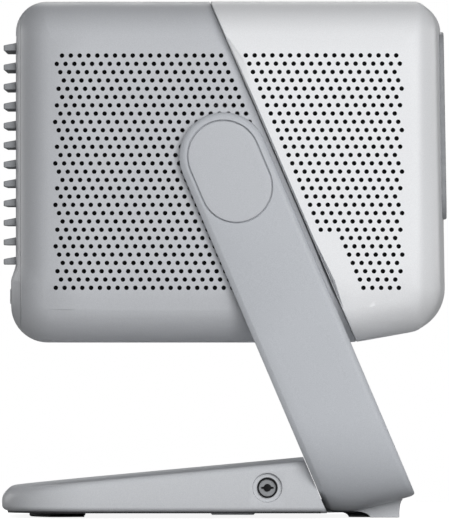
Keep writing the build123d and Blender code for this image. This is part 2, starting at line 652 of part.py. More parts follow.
basket = turned([(CUP_R, 0), (DRIVER_R, 0), (DRIVER_R, -1.5), (CUP_R - 1.5, -1.5),
                 (MAGNET_R - 1, CUP_DEPTH - 1.2), (7.0, CUP_DEPTH - 1.2), (7.0, CUP_DEPTH),
                 (MAGNET_R, CUP_DEPTH)])
cone = turned([(DRIVER_R - 0.6, -1.5), (DRIVER_R - 0.6, -2.3), (DRIVER_R - 2.5, -3.6), (CUP_R - 1.6, -2.3),
               (8.0, 2.2), (4.0, 0.8), (0, 0.4), (0, 1.2), (4.0, 1.8), (8.0, 3.4), (CUP_R - 1.5, -1.5)])
save_pair(basket, "speaker_basket")
save_pair(cone, "speaker_cone")
magnet = rod_y(DRIVER_X, DRIVER_Z, MAGNET_R, BOX_Y1 + CUP_DEPTH, BOX_Y0 - BOX_WALL)
save_pair(magnet, "speaker_magnet")

# ---- yoke ----
arm_run = (cos(radians(ARM_ANGLE)), -sin(radians(ARM_ANGLE)))
arm_side = (sin(radians(ARM_ANGLE)), cos(radians(ARM_ANGLE)))


def arm_point(along, across):
    """Point of the arm in side view: distance down it, and towards the front."""
    x = PIVOT_X + along * arm_run[0] + across * arm_side[0]
    z = PIVOT_Z + along * arm_run[1] + across * arm_side[1]
    return (x, z)


def arm_edge(z, across):
    """Where an edge of the arm crosses a height."""
    along = (PIVOT_Z + across * arm_side[1] - z) / -arm_run[1]
    return arm_point(along, across)


def arm_outline(grow=0.0):
    """Slanted arm with a round top, cut level at the floor line."""
    half = ARM_HALF + grow
    nose = arm_edge(BAR_NOSE_Z - BAR_NOSE_R, half)
    points = [arm_point(0, -half), arm_edge(YOKE_FLOOR, -half),
              (arm_edge(YOKE_FLOOR, -half)[0] + 10.0, YOKE_FLOOR), (nose[0] - 4.5, nose[1] - 0.6), nose,
              arm_point(0, half)]
    lines = Polyline(*points)
    top = ThreePointArc(points[-1], arm_point(-half, 0), points[0])
    return Plane.XZ * make_face(lines + top)


def yoke_front(half, floor, radius):
    """Front-view outline of the space inside the arms, down to a floor."""
    high = PIVOT_Z + BIG / 4
    shape = Pos(0, (floor + high) / 2) * RectangleRounded(2 * half, high - floor, radius)
    return extrude(Plane.YZ * shape, amount=BIG, both=True)


RECESS_TOP = BASE_FLOOR + DISC_T + TURN_GAP
recess = rod_z(DISC_X, 0, DISC_R + TURN_GAP, 0, RECESS_TOP)
u_shape = yoke_front(ARM_OUT_Y, YOKE_FLOOR, YOKE_ROLL)
u_shape -= yoke_front(ARM_IN_Y, YOKE_FLOOR + BAR_T, YOKE_ROLL - ARM_T)
yoke = slab(arm_outline(), -ARM_OUT_Y, ARM_OUT_Y) & u_shape
cap_low = arm_point(CAP_REACH, 0)


def cap_outline(r):
    """Stadium about the pivot and the cap's lower centre."""
    middle = ((PIVOT_X + cap_low[0]) / 2, (PIVOT_Z + cap_low[1]) / 2)
    return Plane.XZ * Pos(*middle) * Rot(0, 0, -ARM_ANGLE) * SlotOverall(CAP_REACH + 2 * r, 2 * r)


arm_cuts = slab(cap_outline(CAP_R + SEAM_GAP), -ARM_OUT_Y - 1, -ARM_OUT_Y + CAP_T)
arm_cuts += rod_y(PIVOT_X, PIVOT_Z, FLANGE_R + SEAM_GAP, -ARM_OUT_Y - 1, flange_out + FLANGE_T)
arm_cuts += rod_y(PIVOT_X, PIVOT_Z, SHAFT_R + SEAM_GAP, -ARM_OUT_Y - 1, -ARM_IN_Y + 1)
yoke -= both_sides(arm_cuts)
yoke -= recess
save(yoke, "yoke")
cap = slab(cap_outline(CAP_R), -ARM_OUT_Y, -ARM_OUT_Y + CAP_T)
cap = chamfer(cap.edges().group_by(Axis.Y)[0], 0.3)
save_pair(cap, "pivot_cap")

# ---- wedge base ----
SLOPE_RISE = sin(radians(BASE_SLOPE)) / cos(radians(BASE_SLOPE))


def base_face(inset):
    """Side-view outline of the wedge, ending against the slanted yoke."""
    back = -ARM_HALF - SEAM_GAP - inset
    low = arm_edge(BASE_FLOOR, back)
    x0 = BASE_REAR_X + inset
    z0 = BASE_REAR_H - inset
    high_z = z0
    for _ in range(20):
        high_z = z0 + (arm_edge(high_z, back)[0] - x0) * SLOPE_RISE
    high = arm_edge(high_z, back)
    points = [(x0, z0), high, low, (x0, BASE_FLOOR)]
    return Plane.XZ * make_face(Polyline(*points, close=True)), high, low


def base_solid(inset):
    """Wedge with round rear corners in plan and a rolled upper edge."""
    face, high, low = base_face(inset)
    half = BASE_HALF - inset
    wedge = slab(face, -half, half)
    x1 = low[0] + BASE_CORNER_R * 2
    x0 = BASE_REAR_X + inset
    plan = Pos((x0 + x1) / 2, 0) * RectangleRounded(x1 - x0, 2 * half, BASE_CORNER_R - inset)
    return wedge & extrude(plan, amount=BIG / 4)


wedge_outer = base_solid(0)
rim = [e for e in wedge_outer.edges() if e.center().Z > BASE_FLOOR + 1 and e.bounding_box().size.Z < 20
       and e.center().X < arm_edge(BASE_FLOOR, -ARM_HALF)[0] - 25 and e.length > 20]
wedge_outer = fillet(rim, BASE_EDGE_R)
jack_face = -BASE_HALF
base_shell = wedge_outer - base_solid(BASE_WALL)
pocket = rod_y(JACK_X, JACK_Z, JACK_POCKET_R, jack_face - 1, jack_face + JACK_POCKET_DEPTH)
boss = rod_y(JACK_X, JACK_Z, JACK_POCKET_R + 1.6, jack_face + 1, jack_face + JACK_POCKET_DEPTH + 1.5)
base_shell += boss & wedge_outer
base_shell -= pocket
base_shell -= rod_y(JACK_X, JACK_Z, JACK_RING_R + SEAM_GAP, jack_face - 1, jack_face + 20)
base_shell -= recess
save(base_shell, "base_shell")

JACK_LENGTH = 14.0
jack_y0 = jack_face + 0.9
jack = rod_y(JACK_X, JACK_Z, JACK_RING_R, jack_y0, jack_y0 + JACK_LENGTH)
jack += rod_y(JACK_X, JACK_Z, JACK_RING_R + 1.3, jack_face + JACK_POCKET_DEPTH + 1.5, jack_y0 + JACK_LENGTH)
jack -= rod_y(JACK_X, JACK_Z, JACK_RING_R - 0.6, jack_y0 - 1, jack_y0 + JACK_LENGTH - 2)
save(jack, "dc_socket")
PIN_R = 1.6
pin = rod_y(JACK_X, JACK_Z, PIN_R, jack_y0 + 1.2, jack_y0 + JACK_LENGTH - 2)
save(pin, "dc_pin")

cover_plan = base_solid(BASE_WALL + SEAM_GAP) & block(-BIG, BIG, -BIG, BIG, 0, BASE_FLOOR + COVER_T)
base_cover = cover_plan - recess
HUB_OUT_R = SPINDLE_R + 5.0
DECK_T = 1.8
deck_z = RECESS_TOP + DECK_T
deck_zone = base_solid(BASE_WALL + SEAM_GAP) & rod_z(DISC_X, 0, DISC_R + 3.5, BASE_FLOOR, deck_z)
base_cover += deck_zone - recess
base_cover -= rod_z(DISC_X, 0, HUB_OUT_R + SEAM_GAP, 0, BIG)
base_cover -= rod_y(JACK_X, JACK_Z, JACK_RING_R + 2.0, -BASE_HALF, -BASE_HALF + 20.0)
save(base_cover, "base_cover")
skid = [Pos(3.8, s * (BASE_HALF - 8.0), BASE_FLOOR - 0.35) * Box(19.8, 8.0, 0.7) for s in (-1, 1)]
skid = [chamfer(s.edges().group_by(Axis.Z)[0], 0.5) for s in skid]
save(Compound(children=skid), "skid_pads")

# ---- swivel foot ----
disc = rod_z(DISC_X, 0, DISC_R, BASE_FLOOR, BASE_FLOOR + DISC_T)
save(disc, "swivel_disc")


def foot(angle):
    """Rubber pad under the rim of the disc, tapering to the floor."""
    ring = rod_z(DISC_X, 0, DISC_R, 0, BASE_FLOOR) - rod_z(DISC_X, 0, DISC_R - FOOT_W, 0, BASE_FLOOR)
    reach_out = 2 * DISC_R
    wide = reach_out * sin(radians(FOOT_ARC)) / cos(radians(FOOT_ARC))
    pie = Polyline((0, 0), (reach_out, -wide), (reach_out, wide), close=True)
    pie = Pos(DISC_X, 0, 0) * Rot(0, 0, angle) * extrude(make_face(pie), amount=BASE_FLOOR)
    return ring & pie


save(Compound(children=[foot(0), foot(180)]), "foot_pads")
bush_z0 = BASE_FLOOR + DISC_T + AXIAL_GAP
bush_z1 = bush_z0 + 4.6
bushing = rod_z(DISC_X, 0, HUB_OUT_R, bush_z0, bush_z1)
bushing += rod_z(DISC_X, 0, HUB_OUT_R + 3.0, deck_z, bush_z1)
bushing -= rod_z(DISC_X, 0, SPINDLE_R + RUN_GAP, 0, BIG)
save(bushing, "swivel_bushing")
spindle = rod_z(DISC_X, 0, SPINDLE_R, BASE_FLOOR + DISC_T, bush_z1 + AXIAL_GAP)
save(spindle, "swivel_spindle")
keeper_z = bush_z1 + AXIAL_GAP
save(rod_z(DISC_X, 0, HUB_OUT_R + 1.0, keeper_z, keeper_z + 1.5), "swivel_keeper")
BALLAST_T = 3.0
ballast = base_solid(BASE_WALL + 1.0) & block(-78.0, 30.0, -84.0, 84.0, deck_z, deck_z + BALLAST_T)
ballast -= rod_z(DISC_X, 0, HUB_OUT_R + 6.0, 0, BIG)
save(ballast, "ballast_plate")
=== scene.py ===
"""Looks of a tilting smart projector with built-in loudspeakers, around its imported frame.

All sizes are millimetres in the frame's axes: +X is the lens side, +Z is up, and the
right-hand side of the projector is -Y. Meshes are scaled to metres when they are made.
"""
from __future__ import annotations

import json
import logging
from dataclasses import dataclass, field
from enum import Enum
from math import atan2, cos, hypot, pi, radians, sin, tan
from typing import Iterable, Sequence

import bmesh
import bpy
import numpy as np
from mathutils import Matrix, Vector
from mathutils.geometry import delaunay_2d_cdt


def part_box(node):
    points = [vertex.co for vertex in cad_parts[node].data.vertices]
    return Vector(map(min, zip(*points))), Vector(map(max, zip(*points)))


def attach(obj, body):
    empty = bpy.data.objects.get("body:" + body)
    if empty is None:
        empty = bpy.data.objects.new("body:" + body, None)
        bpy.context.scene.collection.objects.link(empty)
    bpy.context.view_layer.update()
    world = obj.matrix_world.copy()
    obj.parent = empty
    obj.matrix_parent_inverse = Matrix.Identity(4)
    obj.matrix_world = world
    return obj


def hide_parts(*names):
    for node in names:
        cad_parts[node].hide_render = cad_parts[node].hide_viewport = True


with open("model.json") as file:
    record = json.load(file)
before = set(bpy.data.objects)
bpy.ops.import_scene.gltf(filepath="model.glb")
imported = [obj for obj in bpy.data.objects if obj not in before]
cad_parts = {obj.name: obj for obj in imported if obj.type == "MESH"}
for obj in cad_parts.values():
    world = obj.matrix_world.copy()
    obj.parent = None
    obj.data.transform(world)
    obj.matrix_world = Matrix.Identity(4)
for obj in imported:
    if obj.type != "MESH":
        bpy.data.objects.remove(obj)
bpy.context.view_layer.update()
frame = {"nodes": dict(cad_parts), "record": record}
LOG = logging.getLogger("projector")
MM = 0.001
Array = np.ndarray
Edit = bmesh.types.BMesh
Tree = bpy.types.NodeTree
Socket = bpy.types.NodeSocket
Node = bpy.types.Node
BEYOND = 120.0                 # mm, past the rear of everything


# ---------------------------------------------------------------- helpers
def box_mm(node: str) -> tuple[Array, Array]:
    """Lowest and highest corner of a CAD node, in millimetres."""
    low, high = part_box(node)
    return np.array(low) / MM, np.array(high) / MM


def joint_mm(name: str) -> Array:
    """Place of a hinge of the frame, in millimetres."""
    found = [j for j in frame["record"]["behaviour"]["joints"] if j["name"] == name]
    return np.array(found[0]["pos_m"]) / MM


def smoothstep(value: Array | float) -> Array:
    """Soft ramp from 0 to 1: three times the square less twice the cube."""
    t = np.clip(value, 0.0, 1.0)
    return t * t * (3.0 - 2.0 * t)


def grid_quads(rows: int, cols: int, wrap_rows: bool = False, wrap_cols: bool = False) -> Array:
    """Corner numbers of a grid's squares.

    Args:
        rows: number of rows of points.
        cols: number of points in a row.
        wrap_rows: whether the last row joins the first.
        wrap_cols: whether the last column joins the first.

    Returns:
        An array of four point numbers for each square.
    """
    r = np.arange(rows if wrap_rows else rows - 1)[:, None]
    c = np.arange(cols if wrap_cols else cols - 1)[None, :]
    r1, c1 = (r + 1) % rows, (c + 1) % cols
    quads = np.stack(np.broadcast_arrays(r * cols + c, r * cols + c1, r1 * cols + c1, r1 * cols + c), -1)
    return quads.reshape(-1, 4)


def inside_polygon(points: Array, polygon: Array) -> Array:
    """Even-odd test: a point is inside when a ray from it crosses the outline an odd number of times."""
    a, b = polygon, np.roll(polygon, -1, 0)
    x, y = points[:, :1], points[:, 1:2]
    spans = (a[:, 1] > y) != (b[:, 1] > y)
    rise = np.where(b[:, 1] == a[:, 1], 1e-12, b[:, 1] - a[:, 1])
    crossing = a[:, 0] + (y - a[:, 1]) * (b[:, 0] - a[:, 0]) / rise
    return (spans & (x < crossing)).sum(1) % 2 == 1


def lattice(low: Array, high: Array, pitch: float) -> Array:
    """Points of a square net between two corners."""
    x, z = np.meshgrid(np.arange(low[0], high[0], pitch), np.arange(low[1], high[1], pitch))
    return np.stack([x.ravel(), z.ravel()], 1)


def flat_fill(outline: Array, holes: Sequence[Array] = (), pitch: float = 0.0) -> tuple[Array, Array]:
    """Triangles of a flat outline with holes, by constrained Delaunay triangulation.

    Args:
        outline: points round the outside.
        holes: points round each hole.
        pitch: spacing of a net of points inside, or 0 for none.

    Returns:
        The points, and the corner numbers of the triangles.
    """
    loops = [outline, *holes]
    points = np.concatenate(loops)
    if pitch:
        net = lattice(outline.min(0), outline.max(0), pitch)
        net = net[inside_polygon(net, outline)]
        near = np.linalg.norm(net[:, None] - points[None], axis=2).min(1) < pitch * 0.45
        points = np.concatenate([points, net[~near]])
    edges, start = [], 0
    for loop in loops:
        count = len(loop)
        edges += [(start + i, start + (i + 1) % count) for i in range(count)]
        start += count
    made = delaunay_2d_cdt([Vector(p) for p in points], edges, [], 0, 1e-5)
    flat = np.array([(v.x, v.y) for v in made[0]])
    tris = np.array(made[2])
    middle = flat[tris].mean(1)
    if len(flat) == len(points):
        cuts = np.cumsum([len(loop) for loop in loops])
        outline, *holes = np.split(flat[:cuts[-1]], cuts[:-1])
    keep = inside_polygon(middle, outline)
    for hole in holes:
        keep &= ~inside_polygon(middle, hole)
    return flat, tris[keep]


def rounded_loop(corners: Array, radii: Array, inset: float, arc: int = 10, run: int = 6) -> Array:
    """Clockwise outline of straight runs and round corners, moved inwards.

    Each run moves inwards by the inset. A corner's radius shrinks by the inset, and levels
    off at a small soft value: half of (r + root of (r squared + 4 c squared)).

    Args:
        corners: sharp corners (x, z) in clockwise order.
        radii: radius of each corner.
        inset: distance inwards.
        arc: steps along each corner.
        run: points inside each straight run.

    Returns:
        The same number of points for every inset.
    """
    ahead = np.roll(corners, -1, 0) - corners
    ahead /= np.linalg.norm(ahead, axis=1, keepdims=True)
    back = np.roll(ahead, 1, 0)
    normal = np.stack([ahead[:, 1], -ahead[:, 0]], 1)
    normal_back = np.roll(normal, 1, 0)
    shared = 1.0 + (normal * normal_back).sum(1, keepdims=True)
    moved = corners + inset * (normal + normal_back) / shared
    turn = np.arctan2(back[:, 0] * ahead[:, 1] - back[:, 1] * ahead[:, 0], (back * ahead).sum(1))
    left = radii + np.where(turn < 0, -inset, inset)
    soft = 0.5 * (left + np.sqrt(left**2 + 4 * 1.6**2))
    reach = soft * np.tan(np.abs(turn) / 2)
    first = moved - back * reach[:, None]
    last = moved + ahead * reach[:, None]
    side = np.where(turn < 0, 1.0, -1.0)[:, None]
    centre = first + normal_back * side * soft[:, None]
    spoke = first - centre
    angle = turn[:, None] * np.linspace(0, 1, arc + 1)[None, :]
    x = centre[:, :1] + spoke[:, :1] * np.cos(angle) - spoke[:, 1:] * np.sin(angle)
    z = centre[:, 1:] + spoke[:, :1] * np.sin(angle) + spoke[:, 1:] * np.cos(angle)
    arcs = np.stack([x, z], -1)
    part = (np.arange(1, run + 1) / (run + 1))[None, :, None]
    runs = last[:, None] + (np.roll(first, -1, 0) - last)[:, None] * part
    return np.concatenate([arcs, runs], 1).reshape(-1, 2)


def clip_loop(loop: Array, point: Array, normal: Array) -> Array:
    """Part of a flat outline on the side of a line that the normal points to."""
    height = (loop - point) @ normal
    kept = []
    for i in range(len(loop)):
        j = (i + 1) % len(loop)
        if height[i] >= 0:
            kept.append(loop[i])
        if (height[i] >= 0) != (height[j] >= 0):
            kept.append(loop[i] + (loop[j] - loop[i]) * height[i] / (height[i] - height[j]))
    return np.array(kept)


def stadium(start: Array, end: Array, radius: float, steps: int = 24) -> Array:
    """Outline of a bar with round ends between two centres."""
    along = atan2(end[1] - start[1], end[0] - start[0])
    a = along + np.linspace(pi / 2, 3 * pi / 2, steps)
    b = along + np.linspace(-pi / 2, pi / 2, steps)
    near = start + radius * np.stack([np.cos(a), np.sin(a)], 1)
    far = end + radius * np.stack([np.cos(b), np.sin(b)], 1)
    return np.concatenate([near, far])


def circle(centre: Sequence[float], radius: float, steps: int = 48) -> Array:
    """Points round a circle."""
    a = np.linspace(0, 2 * pi, steps, endpoint=False)
    return np.array(centre) + radius * np.stack([np.cos(a), np.sin(a)], 1)


@dataclass
class Skin:
    """Surface patches in millimetres that become one mesh."""

    points: list[Array] = field(default_factory=list)
    quads: list[Array] = field(default_factory=list)
    tris: list[Array] = field(default_factory=list)
    size: int = 0

    def patch(self, points: Array, quads: Array | None = None, tris: Array | None = None) -> None:
        """Adds points with their squares and triangles."""
        points = np.asarray(points, float).reshape(-1, 3)
        if quads is not None and len(quads):
            self.quads.append(quads + self.size)
        if tris is not None and len(tris):
            self.tris.append(tris + self.size)
        self.points.append(points)
        self.size += len(points)

    def grid(self, points: Array, wrap_rows: bool = False, wrap_cols: bool = False) -> None:
        """Adds a grid of points, of shape rows by columns by 3."""
        rows, cols = points.shape[:2]
        self.patch(points, grid_quads(rows, cols, wrap_rows, wrap_cols))

    def fan(self, loop: Array) -> None:
        """Closes a loop with triangles from its first point."""
        self.patch(loop, tris=np.array([(0, k, k + 1) for k in range(1, len(loop) - 1)]))

    def lids(self, rings: Sequence[Array]) -> None:
        """Closes the first and the last ring of a grid."""
        self.fan(rings[0])
        self.fan(rings[-1])

    def wall(self, outline: Array, plane_y: float, holes: Sequence[Array] = (), pitch: float = 0.0) -> None:
        """Adds a flat piece at one depth Y."""
        flat, tris = flat_fill(outline, holes, pitch)
        points = np.stack([flat[:, 0], np.full(len(flat), plane_y), flat[:, 1]], 1)
        self.patch(points, tris=tris)

    def mirror_y(self) -> None:
        """Adds the mirror image across the middle plane."""
        flipped = np.concatenate(self.points) * np.array([1.0, -1.0, 1.0])
        quads = np.concatenate(self.quads)[:, ::-1] if self.quads else None
        tris = np.concatenate(self.tris)[:, ::-1] if self.tris else None
        self.patch(flipped, quads, tris)

    def mesh(self, name: str) -> bpy.types.Mesh:
        """Makes the Blender mesh, in metres."""
        points = np.concatenate(self.points) * MM
        quads = np.concatenate(self.quads) if self.quads else np.zeros((0, 4), int)
        tris = np.concatenate(self.tris) if self.tris else np.zeros((0, 3), int)
        made = bpy.data.meshes.new(name)
        made.vertices.add(len(points))
        made.vertices.foreach_set("co", points.ravel())
        corners = np.concatenate([quads.ravel(), tris.ravel()])
        made.loops.add(len(corners))
        made.loops.foreach_set("vertex_index", corners)
        counts = np.concatenate([np.full(len(quads), 4), np.full(len(tris), 3)])
        starts = np.concatenate([[0], np.cumsum(counts)[:-1]])
        made.polygons.add(len(counts))
        made.polygons.foreach_set("loop_start", starts)
        made.polygons.foreach_set("loop_total", counts)
        made.update(calc_edges=True)
        return made

    def bm(self) -> Edit:
        """The patches as an edit mesh with doubles merged."""
        raw = self.mesh("raw")
        edit = bmesh.new()
        edit.from_mesh(raw)
        bpy.data.meshes.remove(raw)
        bmesh.ops.remove_doubles(edit, verts=edit.verts, dist=2e-6)
        bmesh.ops.dissolve_degenerate(edit, edges=edit.edges, dist=1e-7)
        return edit


class Side(Enum):
    """Which part of a mesh a cut keeps."""

    AHEAD = 1
    BEHIND = -1


def cut(edit: Edit, point: Sequence[float], normal: Sequence[float], keep: Side | None) -> None:
    """Cuts a mesh along a plane (mm) and keeps one side, or both when keep is None."""
    everything = edit.verts[:] + edit.edges[:] + edit.faces[:]
    bmesh.ops.bisect_plane(
        edit, geom=everything, dist=1e-7, plane_co=Vector(point) * MM, plane_no=Vector(normal),
        clear_outer=keep is Side.BEHIND, clear_inner=keep is Side.AHEAD,
    )


def turn_in(edit: Edit, point: Sequence[float], normal: Sequence[float],
            steps: Sequence[tuple[float, float]]) -> None:
    """Folds the open rim that lies on a plane inwards, as a wall's edge.

    Args:
        edit: mesh with an open rim on the plane.
        point: a point of the plane, mm.
        normal: the plane's normal.
        steps: each step's distance inwards and distance along the normal, mm.
    """
    n = Vector(normal).normalized()
    centre = Vector(point) * MM
    edit.normal_update()
    on_plane = 3e-6
    rim = [e for e in edit.edges
           if e.is_boundary and all(abs((v.co - centre).dot(n)) < on_plane for v in e.verts)]
    ways: dict[tuple[int, ...], Vector] = {}
    for v in {v for e in rim for v in e.verts}:
        inward = -(v.normal - n * v.normal.dot(n))
        ways[tuple(round(c * 1e7) for c in v.co)] = inward.normalized()
    for inward, along in steps:
        made = bmesh.ops.extrude_edge_only(edit, edges=rim)["geom"]
        rim = [g for g in made if isinstance(g, bmesh.types.BMEdge)]
        moved = {}
        for v in [g for g in made if isinstance(g, bmesh.types.BMVert)]:
            way = ways[tuple(round(c * 1e7) for c in v.co)]
            v.co += (way * inward + n * along) * MM
            moved[tuple(round(c * 1e7) for c in v.co)] = way
        ways = moved


def window(edit: Edit, low: Sequence[float], high: Sequence[float]) -> None:
    """Removes the faces inside a box (mm), cut cleanly along its four side planes in Y and Z."""
    for axis in (1, 2):
        normal = (0.0, 1.0, 0.0) if axis == 1 else (0.0, 0.0, 1.0)
        for bound in (low, high):
            cut(edit, [bound[i] if i == axis else 0.0 for i in range(3)], normal, None)
    lo, hi = np.array(low) * MM, np.array(high) * MM
    gone = [f for f in edit.faces if all(lo[i] < f.calc_center_median()[i] < hi[i] for i in range(3))]
    bmesh.ops.delete(edit, geom=gone, context="FACES")


def finish_mesh(edit: Edit, name: str, sharp: float) -> bpy.types.Mesh:
    """Turns the normals outwards, marks edges sharper than an angle (degrees) and frees the edit mesh."""
    bmesh.ops.recalc_face_normals(edit, faces=edit.faces)
    centre = sum((v.co for v in edit.verts), Vector()) / max(len(edit.verts), 1)
    outward = sum(f.calc_area() * f.normal.dot(f.calc_center_median() - centre) for f in edit.faces)
    if outward < 0:
        bmesh.ops.reverse_faces(edit, faces=edit.faces)
    made = bpy.data.meshes.new(name)
    edit.to_mesh(made)
    edit.free()
    made.polygons.foreach_set("use_smooth", np.ones(len(made.polygons), bool))
    made.set_sharp_from_angle(angle=radians(sharp))
    return made


def place(source: Skin | Edit, name: str, body: str, finish: "Finish",
          replaces: Iterable[str] = (), sharp: float = 32.0) -> bpy.types.Object:
    """Makes a piece's object, dresses it and ties it to its body.

    Args:
        source: the piece's surface.
        name: the object's name.
        body: the CAD body that it moves with.
        finish: its finish.
        replaces: CAD nodes that it stands for.
        sharp: edges that turn more than this many degrees stay crisp.

    Returns:
        The new object.
    """
    edit = source.bm() if isinstance(source, Skin) else source
    made = finish_mesh(edit, name, sharp)
    obj = bpy.data.objects.new(name, made)
    bpy.context.scene.collection.objects.link(obj)
    made.materials.append(finish.material())
    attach(obj, body)
    names = list(replaces)
    if names:
        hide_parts(*names)
    LOG.info("%s: %d faces on %s", name, len(made.polygons), body)
    return obj


def lathe(profile: Array, centre: Sequence[float], axis: str, steps: int = 64) -> Array:
    """Grid of a profile (radius, place along the axis) carried round a line.

    Args:
        profile: radius and place along the axis.
        centre: a point of the line.
        axis: "x", "y" or "z".
        steps: points round.

    Returns:
        A grid of profile points by steps.
    """
    a = np.linspace(0, 2 * pi, steps, endpoint=False)[None, :]
    r, h = profile[:, :1], profile[:, 1:]
    u, v = r * np.cos(a), r * np.sin(a)
    w = np.broadcast_to(h, u.shape)
    order = {"x": (w, u, v), "y": (u, w, v), "z": (u, v, w)}[axis]
    return np.stack(order, -1) + np.array(centre, float)


def turned(steps: Sequence, centre: Sequence[float], axis: str, name: str, body: str, finish: "Finish",
           replaces: Iterable[str] = (), slot: str = "", around: int = 64) -> bpy.types.Object:
    """Places a piece that is one lathe surface, from its profile (radius, place along the axis)."""
    skin = Skin()
    skin.grid(lathe(np.array(steps, float), centre, axis, around), wrap_cols=True)
    return place(skin, name, body, finish, replaces)


# ---------------------------------------------------------------- finishes
def colour(code: str) -> tuple[float, float, float, float]:
    """Linear colour of an sRGB hex code such as "c4c6ca"."""
    parts = np.array([int(code[i:i + 2], 16) for i in (0, 2, 4)]) / 255.0
    linear = np.where(parts <= 0.04045, parts / 12.92, ((parts + 0.055) / 1.055) ** 2.4)
    return (float(linear[0]), float(linear[1]), float(linear[2]), 1.0)


def add(tree: Tree, kind: str, inputs: dict | None = None, **settings: object) -> Node:
    """Adds a shader node, sets its properties, and sets or links its inputs."""
    made = tree.nodes.new(kind)
    for key, value in settings.items():
        setattr(made, key, value)
    for key, value in (inputs or {}).items():
        if isinstance(value, Socket):
            tree.links.new(value, made.inputs[key])
        else:
            made.inputs[key].default_value = value
    return made


@dataclass(frozen=True)
class Finish:
    """What a surface is made of; a subclass draws it."""

    name: str
    slot: str
    hue: str
    rough: float = 0.5
    metal: float = 0.0
    ior: float = 1.5

    def material(self) -> bpy.types.Material:
        """The finish's material, made once."""
        found = bpy.data.materials.get(self.name)
        if found:
            return found
        made = bpy.data.materials.new(self.name)
        made.use_nodes = True
        tree = made.node_tree
        shader = tree.nodes["Principled BSDF"]
        shader.inputs["Base Color"].default_value = colour(self.hue)
        shader.inputs["Roughness"].default_value = self.rough
        shader.inputs["Metallic"].default_value = self.metal
        if self.metal < 0.9:
            shader.inputs["IOR"].default_value = self.ior
        place_of = add(tree, "ShaderNodeTexCoord").outputs["Object"]
        self.draw(tree, shader, place_of)
        return made

    def draw(self, tree: Tree, shader: Node, at: Socket) -> None:
        """Adds the finish's patterns."""

    def speckle(self, tree: Tree, at: Socket, size: float,
                low: float, high: float, detail: float = 2.0) -> Socket:
        """Noise with features of a size in millimetres, between two values."""
        noise = add(tree, "ShaderNodeTexNoise", {"Vector": at, "Scale": 1000.0 / size, "Detail": detail})
        spread = {"Value": noise.outputs[0], "From Min": 0.3, "From Max": 0.7, "To Min": low, "To Max": high}
        return add(tree, "ShaderNodeMapRange", spread).outputs[0]

    def tint(self, tree: Tree, shader: Node, amount: Socket,
             dark: str, light: str) -> None:
        """Colours the surface between two hues by an amount from 0 to 1."""
        mix = add(tree, "ShaderNodeMix", {0: amount, 6: colour(dark), 7: colour(light)}, data_type="RGBA")
        tree.links.new(mix.outputs[2], shader.inputs["Base Color"])

    def emboss(self, tree: Tree, shader: Node, height: Socket,
               depth: float) -> None:
        """Raises the surface by a height pattern, with its depth in millimetres."""
        bump = add(tree, "ShaderNodeBump", {"Height": height, "Distance": depth * MM, "Strength": 1.0})
        tree.links.new(bump.outputs[0], shader.inputs["Normal"])


@dataclass(frozen=True)
class SatinLacquer(Finish):
    """Silver paint with fine aluminium flake under a satin clear coat, sprayed on ABS or a casting.

    The flake gives a faint sparkle, and the coat a soft broad gloss with a slight orange peel.
    """

    light: str = "d0d2d5"
    flake: float = 0.35

    def draw(self, tree: Tree, shader: Node, at: Socket) -> None:
        """Flake of 0.35 mm, drawn coarser than real so that it shows, and 3 mm orange peel."""
        grain = self.speckle(tree, at, self.flake, 0.0, 1.0, 1.0)
        self.tint(tree, shader, grain, self.hue, self.light)
        peel = self.speckle(tree, at, 3.0, 0.0, 1.0, 1.0)
        self.emboss(tree, shader, peel, 0.004)
        haze = self.speckle(tree, at, 14.0, self.rough - 0.03, self.rough + 0.03)
        tree.links.new(haze, shader.inputs["Roughness"])
        shader.inputs["Coat Weight"].default_value = 0.25
        shader.inputs["Coat Roughness"].default_value = 0.32


@dataclass(frozen=True)
class MouldedPlastic(Finish):
    """ABS moulded in a spark-eroded tool, which leaves a fine even grain and a dull sheen."""

    light: str = "2c2c2e"
    grain: float = 0.6

    def draw(self, tree: Tree, shader: Node, at: Socket) -> None:
        """Grain of spark erosion in colour and height."""
        grain = self.speckle(tree, at, self.grain, 0.0, 1.0)
        self.tint(tree, shader, grain, self.hue, self.light)
        self.emboss(tree, shader, grain, 0.02)


@dataclass(frozen=True)
class RubberPad(Finish):
    """Moulded silicone rubber: dull, slightly dusty, with no clear reflection."""

    light: str = "75787a"

    def draw(self, tree: Tree, shader: Node, at: Socket) -> None:
        """Dusty mottling and a fine tool grain."""
        dust = self.speckle(tree, at, 5.0, 0.0, 1.0, 4.0)
        self.tint(tree, shader, dust, self.hue, self.light)
        self.emboss(tree, shader, self.speckle(tree, at, 0.8, 0.0, 1.0), 0.03)


@dataclass(frozen=True)
class PlatedSteel(Finish):
    """Zinc-plated pressed or turned steel, with rolling lines that stretch the highlight."""

    light: str = "c8c8c8"

    def draw(self, tree: Tree, shader: Node, at: Socket) -> None:
        """Lines of 0.5 mm, ten times longer than wide, and cloudy plating."""
        lines = add(tree, "ShaderNodeMapping", {"Vector": at, "Scale": (1.0, 1.0, 0.1)}).outputs[0]
        stroke = self.speckle(tree, lines, 0.5, self.rough - 0.08, self.rough + 0.08)
        tree.links.new(stroke, shader.inputs["Roughness"])
        self.tint(tree, shader, self.speckle(tree, at, 9.0, 0.0, 1.0, 3.0), self.hue, self.light)


@dataclass(frozen=True)
class SmokedGlass(Finish):
    """Polished cover glass: clear, with a hard mirror gloss."""

    clear: float = 1.0

    def draw(self, tree: Tree, shader: Node, at: Socket) -> None:
        """Clear body with barely uneven polish."""
        shader.inputs["Transmission Weight"].default_value = self.clear
        polish = self.speckle(tree, at, 30.0, self.rough, self.rough + 0.015)
        tree.links.new(polish, shader.inputs["Roughness"])


